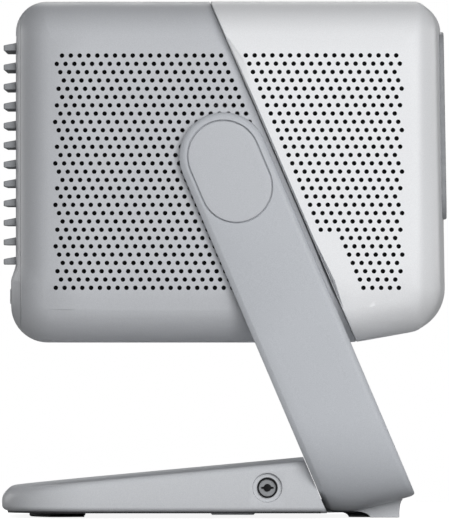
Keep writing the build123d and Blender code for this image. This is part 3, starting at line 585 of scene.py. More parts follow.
@dataclass(frozen=True)
class PrintedBoard(Finish):
    """Glass-epoxy board under green solder resist, with lighter tracks."""

    light: str = "2f7d4f"

    def draw(self, tree: Tree, shader: Node, at: Socket) -> None:
        """Cells of 2.5 mm stand for tracks and pads."""
        cells = add(tree, "ShaderNodeTexVoronoi", {"Vector": at, "Scale": 400.0}, feature="DISTANCE_TO_EDGE")
        spread = {"Value": cells.outputs[0], "From Min": 0.02, "From Max": 0.10}
        self.tint(tree, shader, add(tree, "ShaderNodeMapRange", spread).outputs[0], self.light, self.hue)


@dataclass(frozen=True)
class LightTable(MouldedPlastic):
    """Opal acrylic table lit from below, white to the eye, which adds no light to the object."""

    glow: float = 0.55

    def draw(self, tree: Tree, shader: Node, at: Socket) -> None:
        """Fine grain, with a glow that only the camera sees."""
        super().draw(tree, shader, at)
        shader.inputs["Emission Color"].default_value = (1.0, 1.0, 1.0, 1.0)
        seen = add(tree, "ShaderNodeLightPath").outputs["Is Camera Ray"]
        glow = add(tree, "ShaderNodeMath", {0: seen, 1: self.glow}, operation="MULTIPLY").outputs[0]
        tree.links.new(glow, shader.inputs["Emission Strength"])


# painted light: the front shell is the same satin silver as the rear shell, given a lighter base colour to
# stand for the light its face catches
FRONT_LACQUER_PAINTED_LIGHT = SatinLacquer("lacquer_silver_painted_light", "silver_moulding", "e6e7e9", 0.46, 0.0, light="eeeff1")
REAR_LACQUER = SatinLacquer("lacquer_silver", "silver_moulding", "bdbfc3", 0.42, 0.0, light="c7c9cd")
ARM_LACQUER = SatinLacquer("lacquer_silver_casting", "silver_casting", "b6b9be", 0.40, 0.0, light="c1c4c9")
BASE_LACQUER = SatinLacquer("lacquer_silver_base", "silver_moulding", "c0c2c6", 0.44, 0.0, light="cacccf")
CAP_LACQUER = SatinLacquer("lacquer_silver_cap", "silver_cap", "b8bbbf", 0.36, 0.0, light="c3c5ca")
LOUVRE_PLASTIC = MouldedPlastic("moulded_grey_louvre", "louvre_plastic", "8e9093", 0.5, light="9a9c9f")
BEZEL_GLOSS = MouldedPlastic("satin_grey_bezel", "black_gloss", "8c8e91", 0.35, light="96989b", grain=2.0)
PANEL_GLASS = SmokedGlass("cover_glass", "panel_glass", "c9cdd2", 0.02, 0.0, 1.5)
PANEL_MASK = MouldedPlastic("printed_black_mask", "black_gloss", "0b0b0d", 0.35, light="101013", grain=1.0)
LENS_GLASS = SmokedGlass("coated_lens", "lens_glass", "aab4e6", 0.01, 0.0, 1.6)
BLACK_PLASTIC = MouldedPlastic("moulded_black", "black_plastic", "121214", 0.5, light="1a1a1c")
GREY_PLASTIC = MouldedPlastic("moulded_dark_grey", "grey_plastic", "2d2d2f", 0.6, light="363638")
# painted light: the pads' grey is raised well above their own tone, so that they still read mid grey in the
# shade under the base
FOOT_RUBBER = RubberPad("silicone_painted_light", "rubber_grey", "9b9ea1", 0.75, light="a6a9ac")
# painted light: the swivel disc's grey is far lighter than its dark moulding, so that it still shows in the
# shade under the base
DISC_PLASTIC = MouldedPlastic("moulded_disc_painted_light", "grey_plastic", "a4a6a9", 0.5, light="aeb0b3")
# painted shade: near-black sheet that stands for the shade inside the head behind the holes
HOLE_SHADE_SHEET = RubberPad("painted_hole_shade", "cone_rubber", "060607", 0.95, light="0b0b0c")
CONE_RUBBER = RubberPad("coated_cone", "cone_rubber", "1d1d1f", 0.7, light="262628")
STEEL = PlatedSteel("plated_steel", "steel", "9d9da0", 0.35, 1.0)
CAST_ALLOY = PlatedSteel("cast_alloy", "cast_alloy", "8f9092", 0.45, 1.0, light="a6a7a9")
COPPER = PlatedSteel("drawn_copper", "copper", "b87348", 0.3, 1.0, light="c98a60")
BOARD = PrintedBoard("printed_board", "circuit_board", "14452b", 0.4)
FERRITE = PlatedSteel("plated_ferrite", "magnet", "3c3c3e", 0.5, 0.8, light="48484a")
CARRIED = [REAR_LACQUER, ARM_LACQUER, CAP_LACQUER, LOUVRE_PLASTIC, BEZEL_GLOSS, PANEL_GLASS, LENS_GLASS,
           BLACK_PLASTIC, GREY_PLASTIC, FOOT_RUBBER, CONE_RUBBER, STEEL, CAST_ALLOY, COPPER, BOARD, FERRITE]


# ---------------------------------------------------------------- head
@dataclass
class Perforation:
    """Rows of round punched holes whose columns run along the diagonal step."""

    top: float                    # height of the first row
    rows: int = 29
    pitch: float = 4.013
    row_pitch: float = 3.765
    radius: float = 1.05
    depth: float = 1.2
    corner_steps: int = 4         # points along each side of a cell

    def cell(self) -> tuple[Array, Array, Array]:
        """One slanted cell: its edge points, its hole's rim, and the squares between and down the hole."""
        half_x, half_z = self.pitch / 2, self.row_pitch / 2
        corners = np.array([(-half_x, half_z), (half_x, half_z), (half_x, -half_z), (-half_x, -half_z)])
        t = np.arange(self.corner_steps)[None, :, None] / self.corner_steps
        edge = (corners[:, None] + (np.roll(corners, -1, 0) - corners)[:, None] * t).reshape(-1, 2)
        edge[:, 0] -= edge[:, 1] * Head.lean
        count = len(edge)
        a = radians(135.0) - np.arange(count) * 2 * pi / count + 0.08
        rim = self.radius * np.stack([np.cos(a), np.sin(a)], 1)
        ring = np.arange(count)
        after = (ring + 1) % count
        flat = np.stack([ring, after, after + count, ring + count], 1)
        return edge, rim, np.concatenate([flat, flat + count])

    def middles(self, first: Array, last: Array, anchor: Array) -> tuple[Array, Array]:
        """Cell middles in every row between two limits.

        Args:
            first: lowest place along X allowed in each row.
            last: highest place along X allowed in each row.
            anchor: place along X of one column in each row.

        Returns:
            The middles (x, z), and the row and column numbers.
        """
        spots, marks = [], []
        for row in range(self.rows):
            low = int(np.ceil((first[row] - anchor[row]) / self.pitch - 1e-6))
            high = int(np.floor((last[row] - anchor[row]) / self.pitch + 1e-6))
            cols = np.arange(low, high + 1)
            z = np.full(len(cols), self.top - row * self.row_pitch)
            spots.append(np.stack([anchor[row] + cols * self.pitch, z], 1))
            marks.append(np.stack([np.full(len(cols), row), cols], 1))
        return np.concatenate(spots), np.concatenate(marks)


@dataclass
class Head:
    """The tilting head: front and rear shells with punched sides, rear cover, louvres and panel."""

    lean = 0.430                  # run of the diagonal step along X per mm of drop
    roll: float = 14.5            # soft edge between the rim and a side face
    pillow_reach: float = 32.0    # the side faces fall away within this distance of the rim
    roll_steps: int = 14
    seam_top: float = -6.6        # the step's place along X at the top
    step: float = 9.0             # front side face ahead of the rear one
    corner: float = 13.6
    chin: float = 20.0
    tail: float = 16.4
    bulge: float = 2.2            # port band behind the rear face
    front_lean: float = 2.5
    crown: float = 1.4            # front face falls back this much at the panel's sides
    first_drop: float = 24.8      # first row of holes below the top
    hole_margin: float = 5.6      # first hole from the step, along X
    blank_rows: int = 7           # lowest rows in front that start two holes late
    support: float = 0.6
    shade_sheet_depth: float = 1.5
    louvre_half: float = 81.0     # half-width of the louvre opening, short of the rolled edges
    louvre_foot: float = 116.7    # foot of that opening above the floor
    socket_drop: float = 16.6     # middles of the sockets above the underside
    chin_rise: float = 7.7        # front edge of the underside above its flat
    chin_run: float = 43.0        # length of the rising underside
    chin_bend: float = 60.0       # radius where it starts to rise
    band_top: float = 28.5        # top of the port band above the underside
    band_end: float = 35.1        # the rear face starts here
    field_front: float = 80.9     # foremost hole along X
    field_rear: float = -76.9     # rearmost hole along X
    bare_round: float = 15.0      # no holes this near the pivot
    shell_gap: float = 0.05       # half the gap between the rear shell and its cover
    falls: tuple[float, ...] = (13.0, 17.0, 15.0, 3.0)   # how far a side face falls at top, chin, rear, front

    def __post_init__(self) -> None:
        """Takes the head's outer sizes and places from the frame."""
        self.low, self.high = box_mm("head_shell")
        cover = box_mm("rear_cover")[0]
        self.top, self.bottom = self.high[2], self.low[2]
        self.half = self.high[1]
        self.band_x = cover[0]
        self.rear_x = self.band_x + self.bulge
        self.front_low = self.high[0] + 0.29   # sharp corner, ahead of the rounded one
        self.front_top = self.front_low - self.front_lean
        self.seam_cover = self.rear_x + 2.25
        self.pivot = joint_mm("tilt")
        self.corners = np.array([
            (self.rear_x, self.top), (self.front_top, self.top),
            (self.front_low, self.bottom + self.chin_rise),
            (self.front_low - self.chin_run, self.bottom), (self.band_x, self.bottom),
            (self.band_x, self.bottom + self.band_top), (self.rear_x, self.bottom + self.band_end),
        ])
        self.radii = np.array([self.corner, self.corner, self.chin, self.chin_bend, self.tail, 5.0, 8.0])
        self.seam_point = np.array([self.seam_top, self.top])
        self.seam_normal = np.array([1.0, self.lean]) / hypot(1.0, self.lean)

    def pillowed(self, points: Array) -> Array:
        """Side faces fall away towards the rim.

        Beside each edge the fall is its depth times the square of (1 - distance / reach), and the
        falls of all edges add up. The rim's own breadth shrinks to match.
        """
        x, y, z = points[..., 0], points[..., 1], points[..., 2]
        slope = self.chin_rise / self.chin_run
        chin = self.bottom + slope * np.maximum(x - (self.front_low - self.chin_run), 0.0)
        fall = np.zeros(x.shape)
        for gap, depth in zip((self.top - z, z - chin, x - self.rear_x, self.front_low - x), self.falls):
            fall = fall + depth * np.clip(1.0 - gap / self.pillow_reach, 0.0, 1.0) ** 2
        flank = self.half - self.step - self.roll
        share = np.where(np.abs(y) >= flank, 1.0, np.abs(y) / flank)
        out = points.copy()
        out[..., 1] = y - np.sign(y) * fall * share
        return out

    def pillow(self, edit: Edit) -> Edit:
        """Lets an edit mesh's side faces fall away."""
        raw = np.array([v.co for v in edit.verts]) / MM
        for vert, spot in zip(edit.verts, self.pillowed(raw) * MM):
            vert.co = spot
        return edit

    def outline(self, inset: float) -> Array:
        """Side-view outline at a distance inwards."""
        return rounded_loop(self.corners, self.radii, inset, 12, 9)

    def crowned(self, points: Array) -> Array:
        """Front face falls back with the square of the distance from the middle plane."""
        fall = self.crown * (points[..., 1] / 75.0) ** 2 * smoothstep((points[..., 0] - 86.0) / 11.0)
        out = points.copy()
        out[..., 0] -= fall
        return out

    def band(self, half: float) -> Array:
        """Grid over the rim and both rolled edges.

        From the rim the roll goes inwards by R times (1 - cos) and outwards by R times sin.
        """
        t = np.linspace(0, pi / 2, self.roll_steps + 1)
        inset = np.concatenate([self.roll * (1 - np.cos(t)), [self.roll + self.support]])
        depth = np.concatenate([half - self.roll + self.roll * np.sin(t), [half]])
        across = np.linspace(-1, 1, 17)[1:-1] * (half - self.roll)
        insets = np.concatenate([inset[::-1], np.zeros(len(across)), inset])
        depths = np.concatenate([-depth[::-1], across, depth])
        rows = [np.insert(self.outline(i), 1, y, axis=1) for i, y in zip(insets, depths)]
        return np.stack(rows)

    def seam_x(self, z: Array | float) -> Array | float:
        """The step's place along X at a height."""
        return self.seam_top + (self.top - z) * self.lean

    def field(self, front: bool) -> tuple[Perforation, Array, Array]:
        """Hole pattern of one side face: its cells' middles and marks."""
        grid = Perforation(self.top - self.first_drop)
        z = grid.top - np.arange(grid.rows) * grid.row_pitch
        seam = self.seam_x(z)
        if front:
            anchor = seam + self.hole_margin
            late = np.where(np.arange(grid.rows) >= grid.rows - self.blank_rows, 2, 0)
            last = np.full(grid.rows, self.field_front)
            spots, marks = grid.middles(anchor + late * grid.pitch, last, anchor)
        else:
            anchor = seam - self.hole_margin
            spots, marks = grid.middles(np.full(grid.rows, self.field_rear), anchor, anchor)
            far = np.hypot(spots[:, 0] - self.pivot[0], spots[:, 1] - self.pivot[2]) > self.bare_round
            spots, marks = spots[far], marks[far]
        return grid, spots, marks

    def side_face(self, skin: Skin, half: float, front: bool, shift: float) -> None:
        """Adds one flat side face with its punched holes.

        Args:
            skin: the shell that it belongs to.
            half: distance of the face from the middle plane.
            front: ahead of the step or behind it.
            shift: distance of the shell's edge from the step plane.
        """
        loop = self.outline(self.roll + self.support)
        normal = self.seam_normal if front else -self.seam_normal
        outline = clip_loop(loop, self.seam_point + self.seam_normal * shift, normal)
        grid, spots, marks = self.field(front)
        edge, rim, quads = grid.cell()
        count = len(edge)
        rings = np.concatenate([spots[:, None] + edge, spots[:, None] + rim, spots[:, None] + rim], 1)
        depth = np.repeat([-half, -half, -half + grid.depth], count)
        solid = np.stack([rings[..., 0], np.broadcast_to(depth, rings.shape[:2]), rings[..., 1]], -1)
        cells = (np.arange(len(spots))[:, None, None] * 3 * count + quads).reshape(-1, 4)
        skin.patch(solid, cells)
        self.fill_round(skin, outline, (spots[:, None] + edge).reshape(-1, 2), count, grid, marks, -half)

    def fill_round(self, skin: Skin, outline: Array, edges: Array, count: int, grid: Perforation,
                   marks: Array, depth: float) -> None:
        """Fills between a face's outline and its cells, whose own area stays open.

        Args:
            skin: the shell.
            outline: the face's outline.
            edges: all cells' edge points, in cell order.
            count: edge points of a cell.
            grid: the pattern.
            marks: row and column of each cell.
            depth: the face's place along Y.
        """
        keys, index = np.unique(np.round(edges * 1e3).astype(int), axis=0, return_inverse=True)
        index = index.reshape(-1, count)
        pairs = np.stack([index, np.roll(index, -1, 1)], -1).reshape(-1, 2)
        tidy, times = np.unique(np.sort(pairs, 1), axis=0, return_counts=True)
        rim = tidy[times == 1]
        used, rim_index = np.unique(rim, return_inverse=True)
        where = np.zeros((len(keys), 2))
        where[index.ravel()] = edges
        net = lattice(outline.min(0), outline.max(0), 4.5)
        fixed = np.concatenate([outline, where[used]])
        away = np.linalg.norm(net[:, None] - fixed[None], axis=2).min(1) > 2.0
        points = np.concatenate([fixed, net[away & inside_polygon(net, outline)]])
        around = [(i, (i + 1) % len(outline)) for i in range(len(outline))]
        inner = (rim_index.reshape(-1, 2) + len(outline)).tolist()
        made = delaunay_2d_cdt([Vector(p) for p in points], around + [tuple(e) for e in inner], [], 0, 1e-5)
        flat = np.array([(v.x, v.y) for v in made[0]])
        tris = np.array(made[2])
        if len(flat) == len(points):
            outline = flat[:len(outline)]
        middle = flat[tris].mean(1)
        row = np.round((grid.top - middle[:, 1]) / grid.row_pitch).astype(int)
        anchors = dict(zip(map(tuple, marks), range(len(marks))))
        base = self.seam_x(middle[:, 1]) + (self.hole_margin if depth < -self.half + 1 else -self.hole_margin)
        col = np.round((middle[:, 0] - base) / grid.pitch).astype(int)
        open_cell = np.array([(r, c) in anchors for r, c in zip(row, col)])
        near = np.abs(grid.top - row * grid.row_pitch - middle[:, 1]) <= grid.row_pitch / 2
        keep = inside_polygon(middle, outline) & ~(open_cell & near)
        skin.patch(np.stack([flat[:, 0], np.full(len(flat), depth), flat[:, 1]], 1), tris=tris[keep])

    def both_faces(self, skin: Skin, half: float, front: bool, shift: float) -> None:
        """Adds the right side face and its mirror image."""
        one = Skin()
        self.side_face(one, half, front, shift)
        one.mirror_y()
        skin.patch(
            np.concatenate(one.points),
            np.concatenate(one.quads) if one.quads else None,
            np.concatenate(one.tris) if one.tris else None,
        )

    def shell(self, front: bool) -> Edit:
        """Shell ahead of or behind the step, cut on the step plane."""
        half = self.half if front else self.half - self.step
        shift = 0.45 if front else -0.2
        skin = Skin()
        skin.grid(self.crowned(self.band(half)), wrap_cols=True)
        edit = skin.bm()
        spot = self.seam_point + self.seam_normal * shift
        point = (spot[0], 0.0, spot[1])
        normal = (self.seam_normal[0], 0.0, self.seam_normal[1])
        cut(edit, point, normal, Side.AHEAD if front else Side.BEHIND)
        faces = Skin()
        self.both_faces(faces, half, front, shift)
        extra = faces.mesh("faces")
        edit.from_mesh(extra)
        bpy.data.meshes.remove(extra)
        bmesh.ops.remove_doubles(edit, verts=edit.verts, dist=3e-6)
        self.pillow(edit)
        if front:
            bmesh.ops.recalc_face_normals(edit, faces=edit.faces)
            turn_in(edit, point, normal, [(0.12, -0.18), (0.33, -0.27), (self.step + 1.5, 0.0)])
        return edit

    def shade_sheet(self) -> None:
        """Near-black sheet behind the punched holes, as painted shade for the dark inside of the head, with a
        hole round the tilt bearing.
        """
        skin = Skin()
        loop = self.outline(self.roll + 1.0)
        hub = circle(self.pivot[[0, 2]], 24.0)
        for front, half in ((True, self.half), (False, self.half - self.step)):
            normal = self.seam_normal if front else -self.seam_normal
            sheet = clip_loop(loop, self.seam_point + self.seam_normal * (2.4 if front else -1.0), normal)
            one = Skin()
            one.wall(sheet, -half + self.shade_sheet_depth, [] if front else [hub], 5.0)
            one.mirror_y()
            skin.patch(self.pillowed(np.concatenate(one.points)), tris=np.concatenate(one.tris))
        place(skin, "hole_shade_sheet", "head", HOLE_SHADE_SHEET)

    def build(self) -> None:
        """Front shell, rear shell and rear cover."""
        # near-black sheet behind the holes, painted shade
        self.shade_sheet()
        front = self.shell(True)
        lo, hi = box_mm("front_bezel")
        window(front, (90.0, lo[1] + 8, lo[2] + 8), (110.0, hi[1] - 8, hi[2] - 8))
        place(front, "head_front_shell", "head", FRONT_LACQUER_PAINTED_LIGHT,
              ["head_shell", "grille_front_right", "grille_front_left"])
        rear = self.shell(False)
        cover = rear.copy()
        for edit, side in ((rear, Side.AHEAD), (cover, Side.BEHIND)):
            way = side.value
            plane = ((self.seam_cover + way * self.shell_gap, 0, 0), (1.0, 0.0, 0.0))
            cut(edit, *plane, side)
            bmesh.ops.recalc_face_normals(edit, faces=edit.faces)
            turn_in(edit, *plane, [(0.04, -0.01 * way), (1.5, 0.0)])
        place(rear, "head_rear_shell", "head", REAR_LACQUER, ["grille_rear_right", "grille_rear_left"])
        self.openings(cover)
        place(cover, "head_rear_cover", "head", REAR_LACQUER, ["rear_cover"])

    def openings(self, cover: Edit) -> None:
        """Cuts the louvre opening and the sockets' openings in the rear cover."""
        hi = box_mm("rear_louvres")[1]
        half = self.louvre_half
        window(cover, (-BEYOND, -half, self.louvre_foot), (self.rear_x + 1.0, half, hi[2]))
        for node, rim in (("usb_socket", 0.3), ("audio_socket", -0.6)):
            low, high = box_mm(node)
            middle = (low[2] + high[2]) / 2 if node == "audio_socket" else self.bottom + self.socket_drop
            tall = 3.0 + rim
            window(cover, (-BEYOND, low[1] - rim, middle - tall),
                   (self.band_x + 4, high[1] + rim, middle + tall))


@dataclass
class Louvres:
    """Cooling grille: a frame with horizontal blades that stand out of the rear face."""

    count: int = 12
    pitch: float = 8.85
    root: float = 1.8             # upper side above the blade's middle, at the rear face
    tip: float = 0.7              # and at the tip
    under: float = 2.0            # flat underside below the blade's middle
    tip_round: float = 0.6
    rib_depth: float = 2.8        # inner side of the ribs ahead of the rear face
    rib_count: int = 9
    drop: float = 20.4            # first blade below the top of the head

    def build(self, head: Head) -> None:
        """Blades, ribs behind them and the frame."""
        lo, hi = box_mm("rear_louvres")
        skin = Skin()
        half = head.louvre_half - 1.2
        root_x, tip_x = head.rear_x + 2.0, lo[0]
        t = np.linspace(0.0, pi / 2, 5)
        r = self.tip_round
        nose_low = np.stack([tip_x + r - r * np.sin(t), r - r * np.cos(t) - self.under], 1)
        nose_high = np.stack([tip_x + r - r * np.cos(t), self.tip - r + r * np.sin(t)], 1)
        upper = np.array([[head.rear_x + 0.8, self.root], [root_x, self.root]])
        lower = np.array([[root_x, -self.under], [head.rear_x + 0.8, -self.under]])
        section = np.concatenate([lower, nose_low, nose_high, upper])
        y = np.concatenate([-half + 1.2 * (1 - np.cos(np.linspace(0, pi / 2, 5))), [0.0]])
        y = np.concatenate([y, -y[-2::-1]])
        end = np.clip((half - np.abs(y)) / 1.2, 0.0, 1.0)
        shrink = 1.0 - 0.3 * (1.0 - np.sqrt(1.0 - (1.0 - end) ** 2))
        for i in range(self.count):
            z = head.top - self.drop - i * self.pitch
            x = root_x + (section[None, :, 0] - root_x) * (1.0 - 0.25 * (1.0 - shrink[:, None]))
            height = z + section[None, :, 1] * shrink[:, None]
            blade = np.stack([x, np.broadcast_to(y[:, None], x.shape), height], -1)
            skin.grid(blade, wrap_cols=True)
            skin.lids(blade)
        place(skin, "louvre_blades", "head", LOUVRE_PLASTIC, ["rear_louvres"], sharp=40.0)
        ribs = Skin()
        for y0 in np.linspace(-half, half, self.rib_count):
            self.bar(ribs, (head.rear_x + 1.2, y0 - 0.8, lo[2] + 4.5),
                     (head.rear_x + self.rib_depth, y0 + 0.8, hi[2] - 1.0))
        for z0 in (head.louvre_foot + 0.6, hi[2] - 1.2):
            self.bar(ribs, (head.rear_x + 0.5, -half - 1, z0 - 0.9),
                     (head.rear_x + self.rib_depth, half + 1, z0 + 0.9))
        place(ribs, "louvre_ribs", "head", LOUVRE_PLASTIC)

    def bar(self, skin: Skin, low: Sequence[float], high: Sequence[float], edge: float = 0.25) -> None:
        """Straight bar with a chamfer round its length."""
        x0, y0, z0 = low
        x1, y1, z1 = high
        if y1 - y0 > z1 - z0:
            a, b, axis, span = z0, z1, 1, (y0, y1)
        else:
            a, b, axis, span = y0, y1, 2, (z0, z1)
        loop = np.array([(x0 + edge, a), (x1 - edge, a), (x1, a + edge), (x1, b - edge),
                         (x1 - edge, b), (x0 + edge, b), (x0, b - edge), (x0, a + edge)])
        ends = [np.insert(loop, axis, along, axis=1) for along in span]
        skin.grid(np.stack(ends), wrap_cols=True)
        skin.lids(ends)


@dataclass
class FrontPanel:
    """Window panel: bezel, cover glass, printed mask with lens and sensor openings."""

    width: float = 150.0
    height: float = 85.5
    corner: float = 14.0
    proud: float = 0.8
    rim: float = 2.4
    drop: float = 56.35           # middle of the panel below the top of the head
    mask_depth: float = 1.5
    lens_hole: float = 21.0
    lens_bulge: float = 3.0
    sensor_y: float = -52.0
    # place, opening radius and lens radius of both sensors
    sensors: tuple[tuple[float, float, float], ...] = ((9.0, 5.0, 4.8), (-9.0, 3.2, 3.0))

    def __post_init__(self) -> None:
        """Box of the cover glass from the frame."""
        self.lo, self.hi = box_mm("front_glass")

    def to_world(self, flat: Array, depth: Array | float, head: Head) -> Array:
        """Panel plane (y, up) and depth in front of the face, as points of the frame."""
        middle_z = head.top - self.drop
        lean = head.front_lean / (head.top - head.bottom - head.chin_rise)
        up = flat[..., 1]
        x = head.front_top + lean * (head.top - middle_z) - up * lean + np.asarray(depth)
        return np.stack([np.broadcast_to(x, up.shape), flat[..., 0], middle_z + up], -1)

    def outline(self, inset: float, arc: int = 14) -> Array:
        """Rounded rectangle, clockwise."""
        w, h = self.width / 2, self.height / 2
        corners = np.array([(-w, h), (w, h), (w, -h), (-w, -h)])
        return rounded_loop(corners, np.full(4, self.corner), inset, arc, 3)

    def build(self, head: Head) -> None:
        """Bezel, glass and mask."""
        top, rim = self.proud, self.rim
        levels = [(0.0, -3.0), (0.0, top - 0.9), (0.05, top - 0.5), (0.25, top - 0.2),
                  (0.6, top), (rim - 0.3, top), (rim, top - 0.2), (rim, -2.5)]
        rows = [self.to_world(self.outline(i), d, head) for i, d in levels]
        bezel = Skin()
        bezel.grid(np.stack(rows), wrap_cols=True)
        place(bezel, "panel_bezel", "head", BEZEL_GLOSS, ["front_bezel"])
        glass = Skin()
        steps = [(rim + 0.15, -1.4), (rim + 0.15, top - 0.35), (rim + 0.35, top - 0.12)]
        rows = [self.to_world(self.outline(i), d, head) for i, d in steps]
        glass.grid(np.stack(rows), wrap_cols=True)
        for inset, depth in (steps[-1], steps[0]):
            flat, tris = flat_fill(self.outline(inset))
            glass.patch(self.to_world(flat, depth, head), tris=tris)
        place(glass, "panel_glass", "head", PANEL_GLASS, ["front_glass"])
        mask = Skin()
        holes = [circle((0, 0), self.lens_hole, 64)]
        holes += [circle((self.sensor_y, up), opening) for up, opening, _ in self.sensors]
        flat, tris = flat_fill(self.outline(self.rim + 0.2), holes)
        mask.patch(self.to_world(flat, -self.mask_depth, head), tris=tris)
        for hole in holes:
            rows = [self.to_world(hole, -self.mask_depth - d, head) for d in (0.0, 2.0)]
            mask.grid(np.stack(rows), wrap_cols=True)
        place(mask, "panel_mask", "head", PANEL_MASK)
        self.lens(head)

    def lens(self, head: Head) -> None:
        """Front lens with its name ring, and two small sensor lenses."""
        lo, hi = box_mm("lens_front_element")
        y, z = (lo[1] + hi[1]) / 2, (lo[2] + hi[2]) / 2
        r = (hi[1] - lo[1]) / 2
        a = np.linspace(0, pi / 2, 14)
        dome = np.stack([r * np.sin(a), hi[0] - self.lens_bulge * (1 - np.cos(a))], 1)
        back = np.stack([np.linspace(r, 0.0, 5), np.full(5, lo[0])], 1)
        turned(np.concatenate([dome, back]), (0, y, z), "x", "front_lens", "head", LENS_GLASS,
               ["lens_front_element"])
        steps = [(r + 0.1, hi[0] - 4), (r + 0.1, hi[0] + 0.6), (r + 0.6, hi[0] + 1.0), (r + 2.6, hi[0] + 1.0),
                 (r + 2.9, hi[0] + 0.5), (r + 2.9, hi[0] - 3.0)]
        turned(steps, (0, y, z), "x", "lens_ring", "head", BLACK_PLASTIC)
        middle = self.to_world(np.array([[self.sensor_y, up] for up, _, _ in self.sensors]), -3.0, head)
        small = Skin()
        for spot, (_, _, radius) in zip(middle, self.sensors):
            dome = np.stack([radius * np.sin(a), 0.9 * np.cos(a)], 1)
            small.grid(lathe(dome, spot, "x", 32), wrap_cols=True)
        place(small, "sensor_lenses", "head", LENS_GLASS)


@dataclass
class PortBand:
    """Power button and socket collars on the lower rear band."""

    def build(self, head: Head) -> None:
        """Rounded button, its collar and the audio socket's collar."""
        lo, hi = box_mm("power_button")
        r = (hi[2] - lo[2]) / 2
        z = (hi[2] + lo[2]) / 2
        start, end = np.array([lo[1] + r, z]), np.array([hi[1] - r, z])
        levels = [(0.0, 3.0), (0.0, 0.5), (0.1, 0.25), (0.3, 0.08), (0.6, 0.0)]
        button = Skin()
        rows = [np.insert(stadium(start, end, r - i), 0, lo[0] + d, axis=1) for i, d in levels]
        button.grid(np.stack(rows), wrap_cols=True)
        flat, tris = flat_fill(stadium(start, end, r - 0.6))
        button.patch(np.insert(flat, 0, lo[0], axis=1), tris=tris)
        place(button, "power_key", "button", CAP_LACQUER, ["power_button"])
        groove = Skin()
        x = head.band_x
        rows = [(0.28, 2.0), (0.28, -0.02), (0.45, -0.06), (0.8, -0.02), (0.8, 1.0)]
        loops = [np.insert(stadium(start, end, r + gap), 0, x + depth, axis=1) for gap, depth in rows]
        groove.grid(np.stack(loops), wrap_cols=True)
        place(groove, "power_key_collar", "head", BLACK_PLASTIC)
        lo, hi = box_mm("audio_socket")
        y, z = (lo[1] + hi[1]) / 2, head.bottom + head.socket_drop
        steps = [(1.9, 5.0), (1.9, 0.2), (2.2, -0.05), (4.9, -0.05), (5.2, 0.2), (5.2, 1.2)]
        turned(steps, (x, y, z), "x", "audio_collar", "head", BLACK_PLASTIC, around=40)


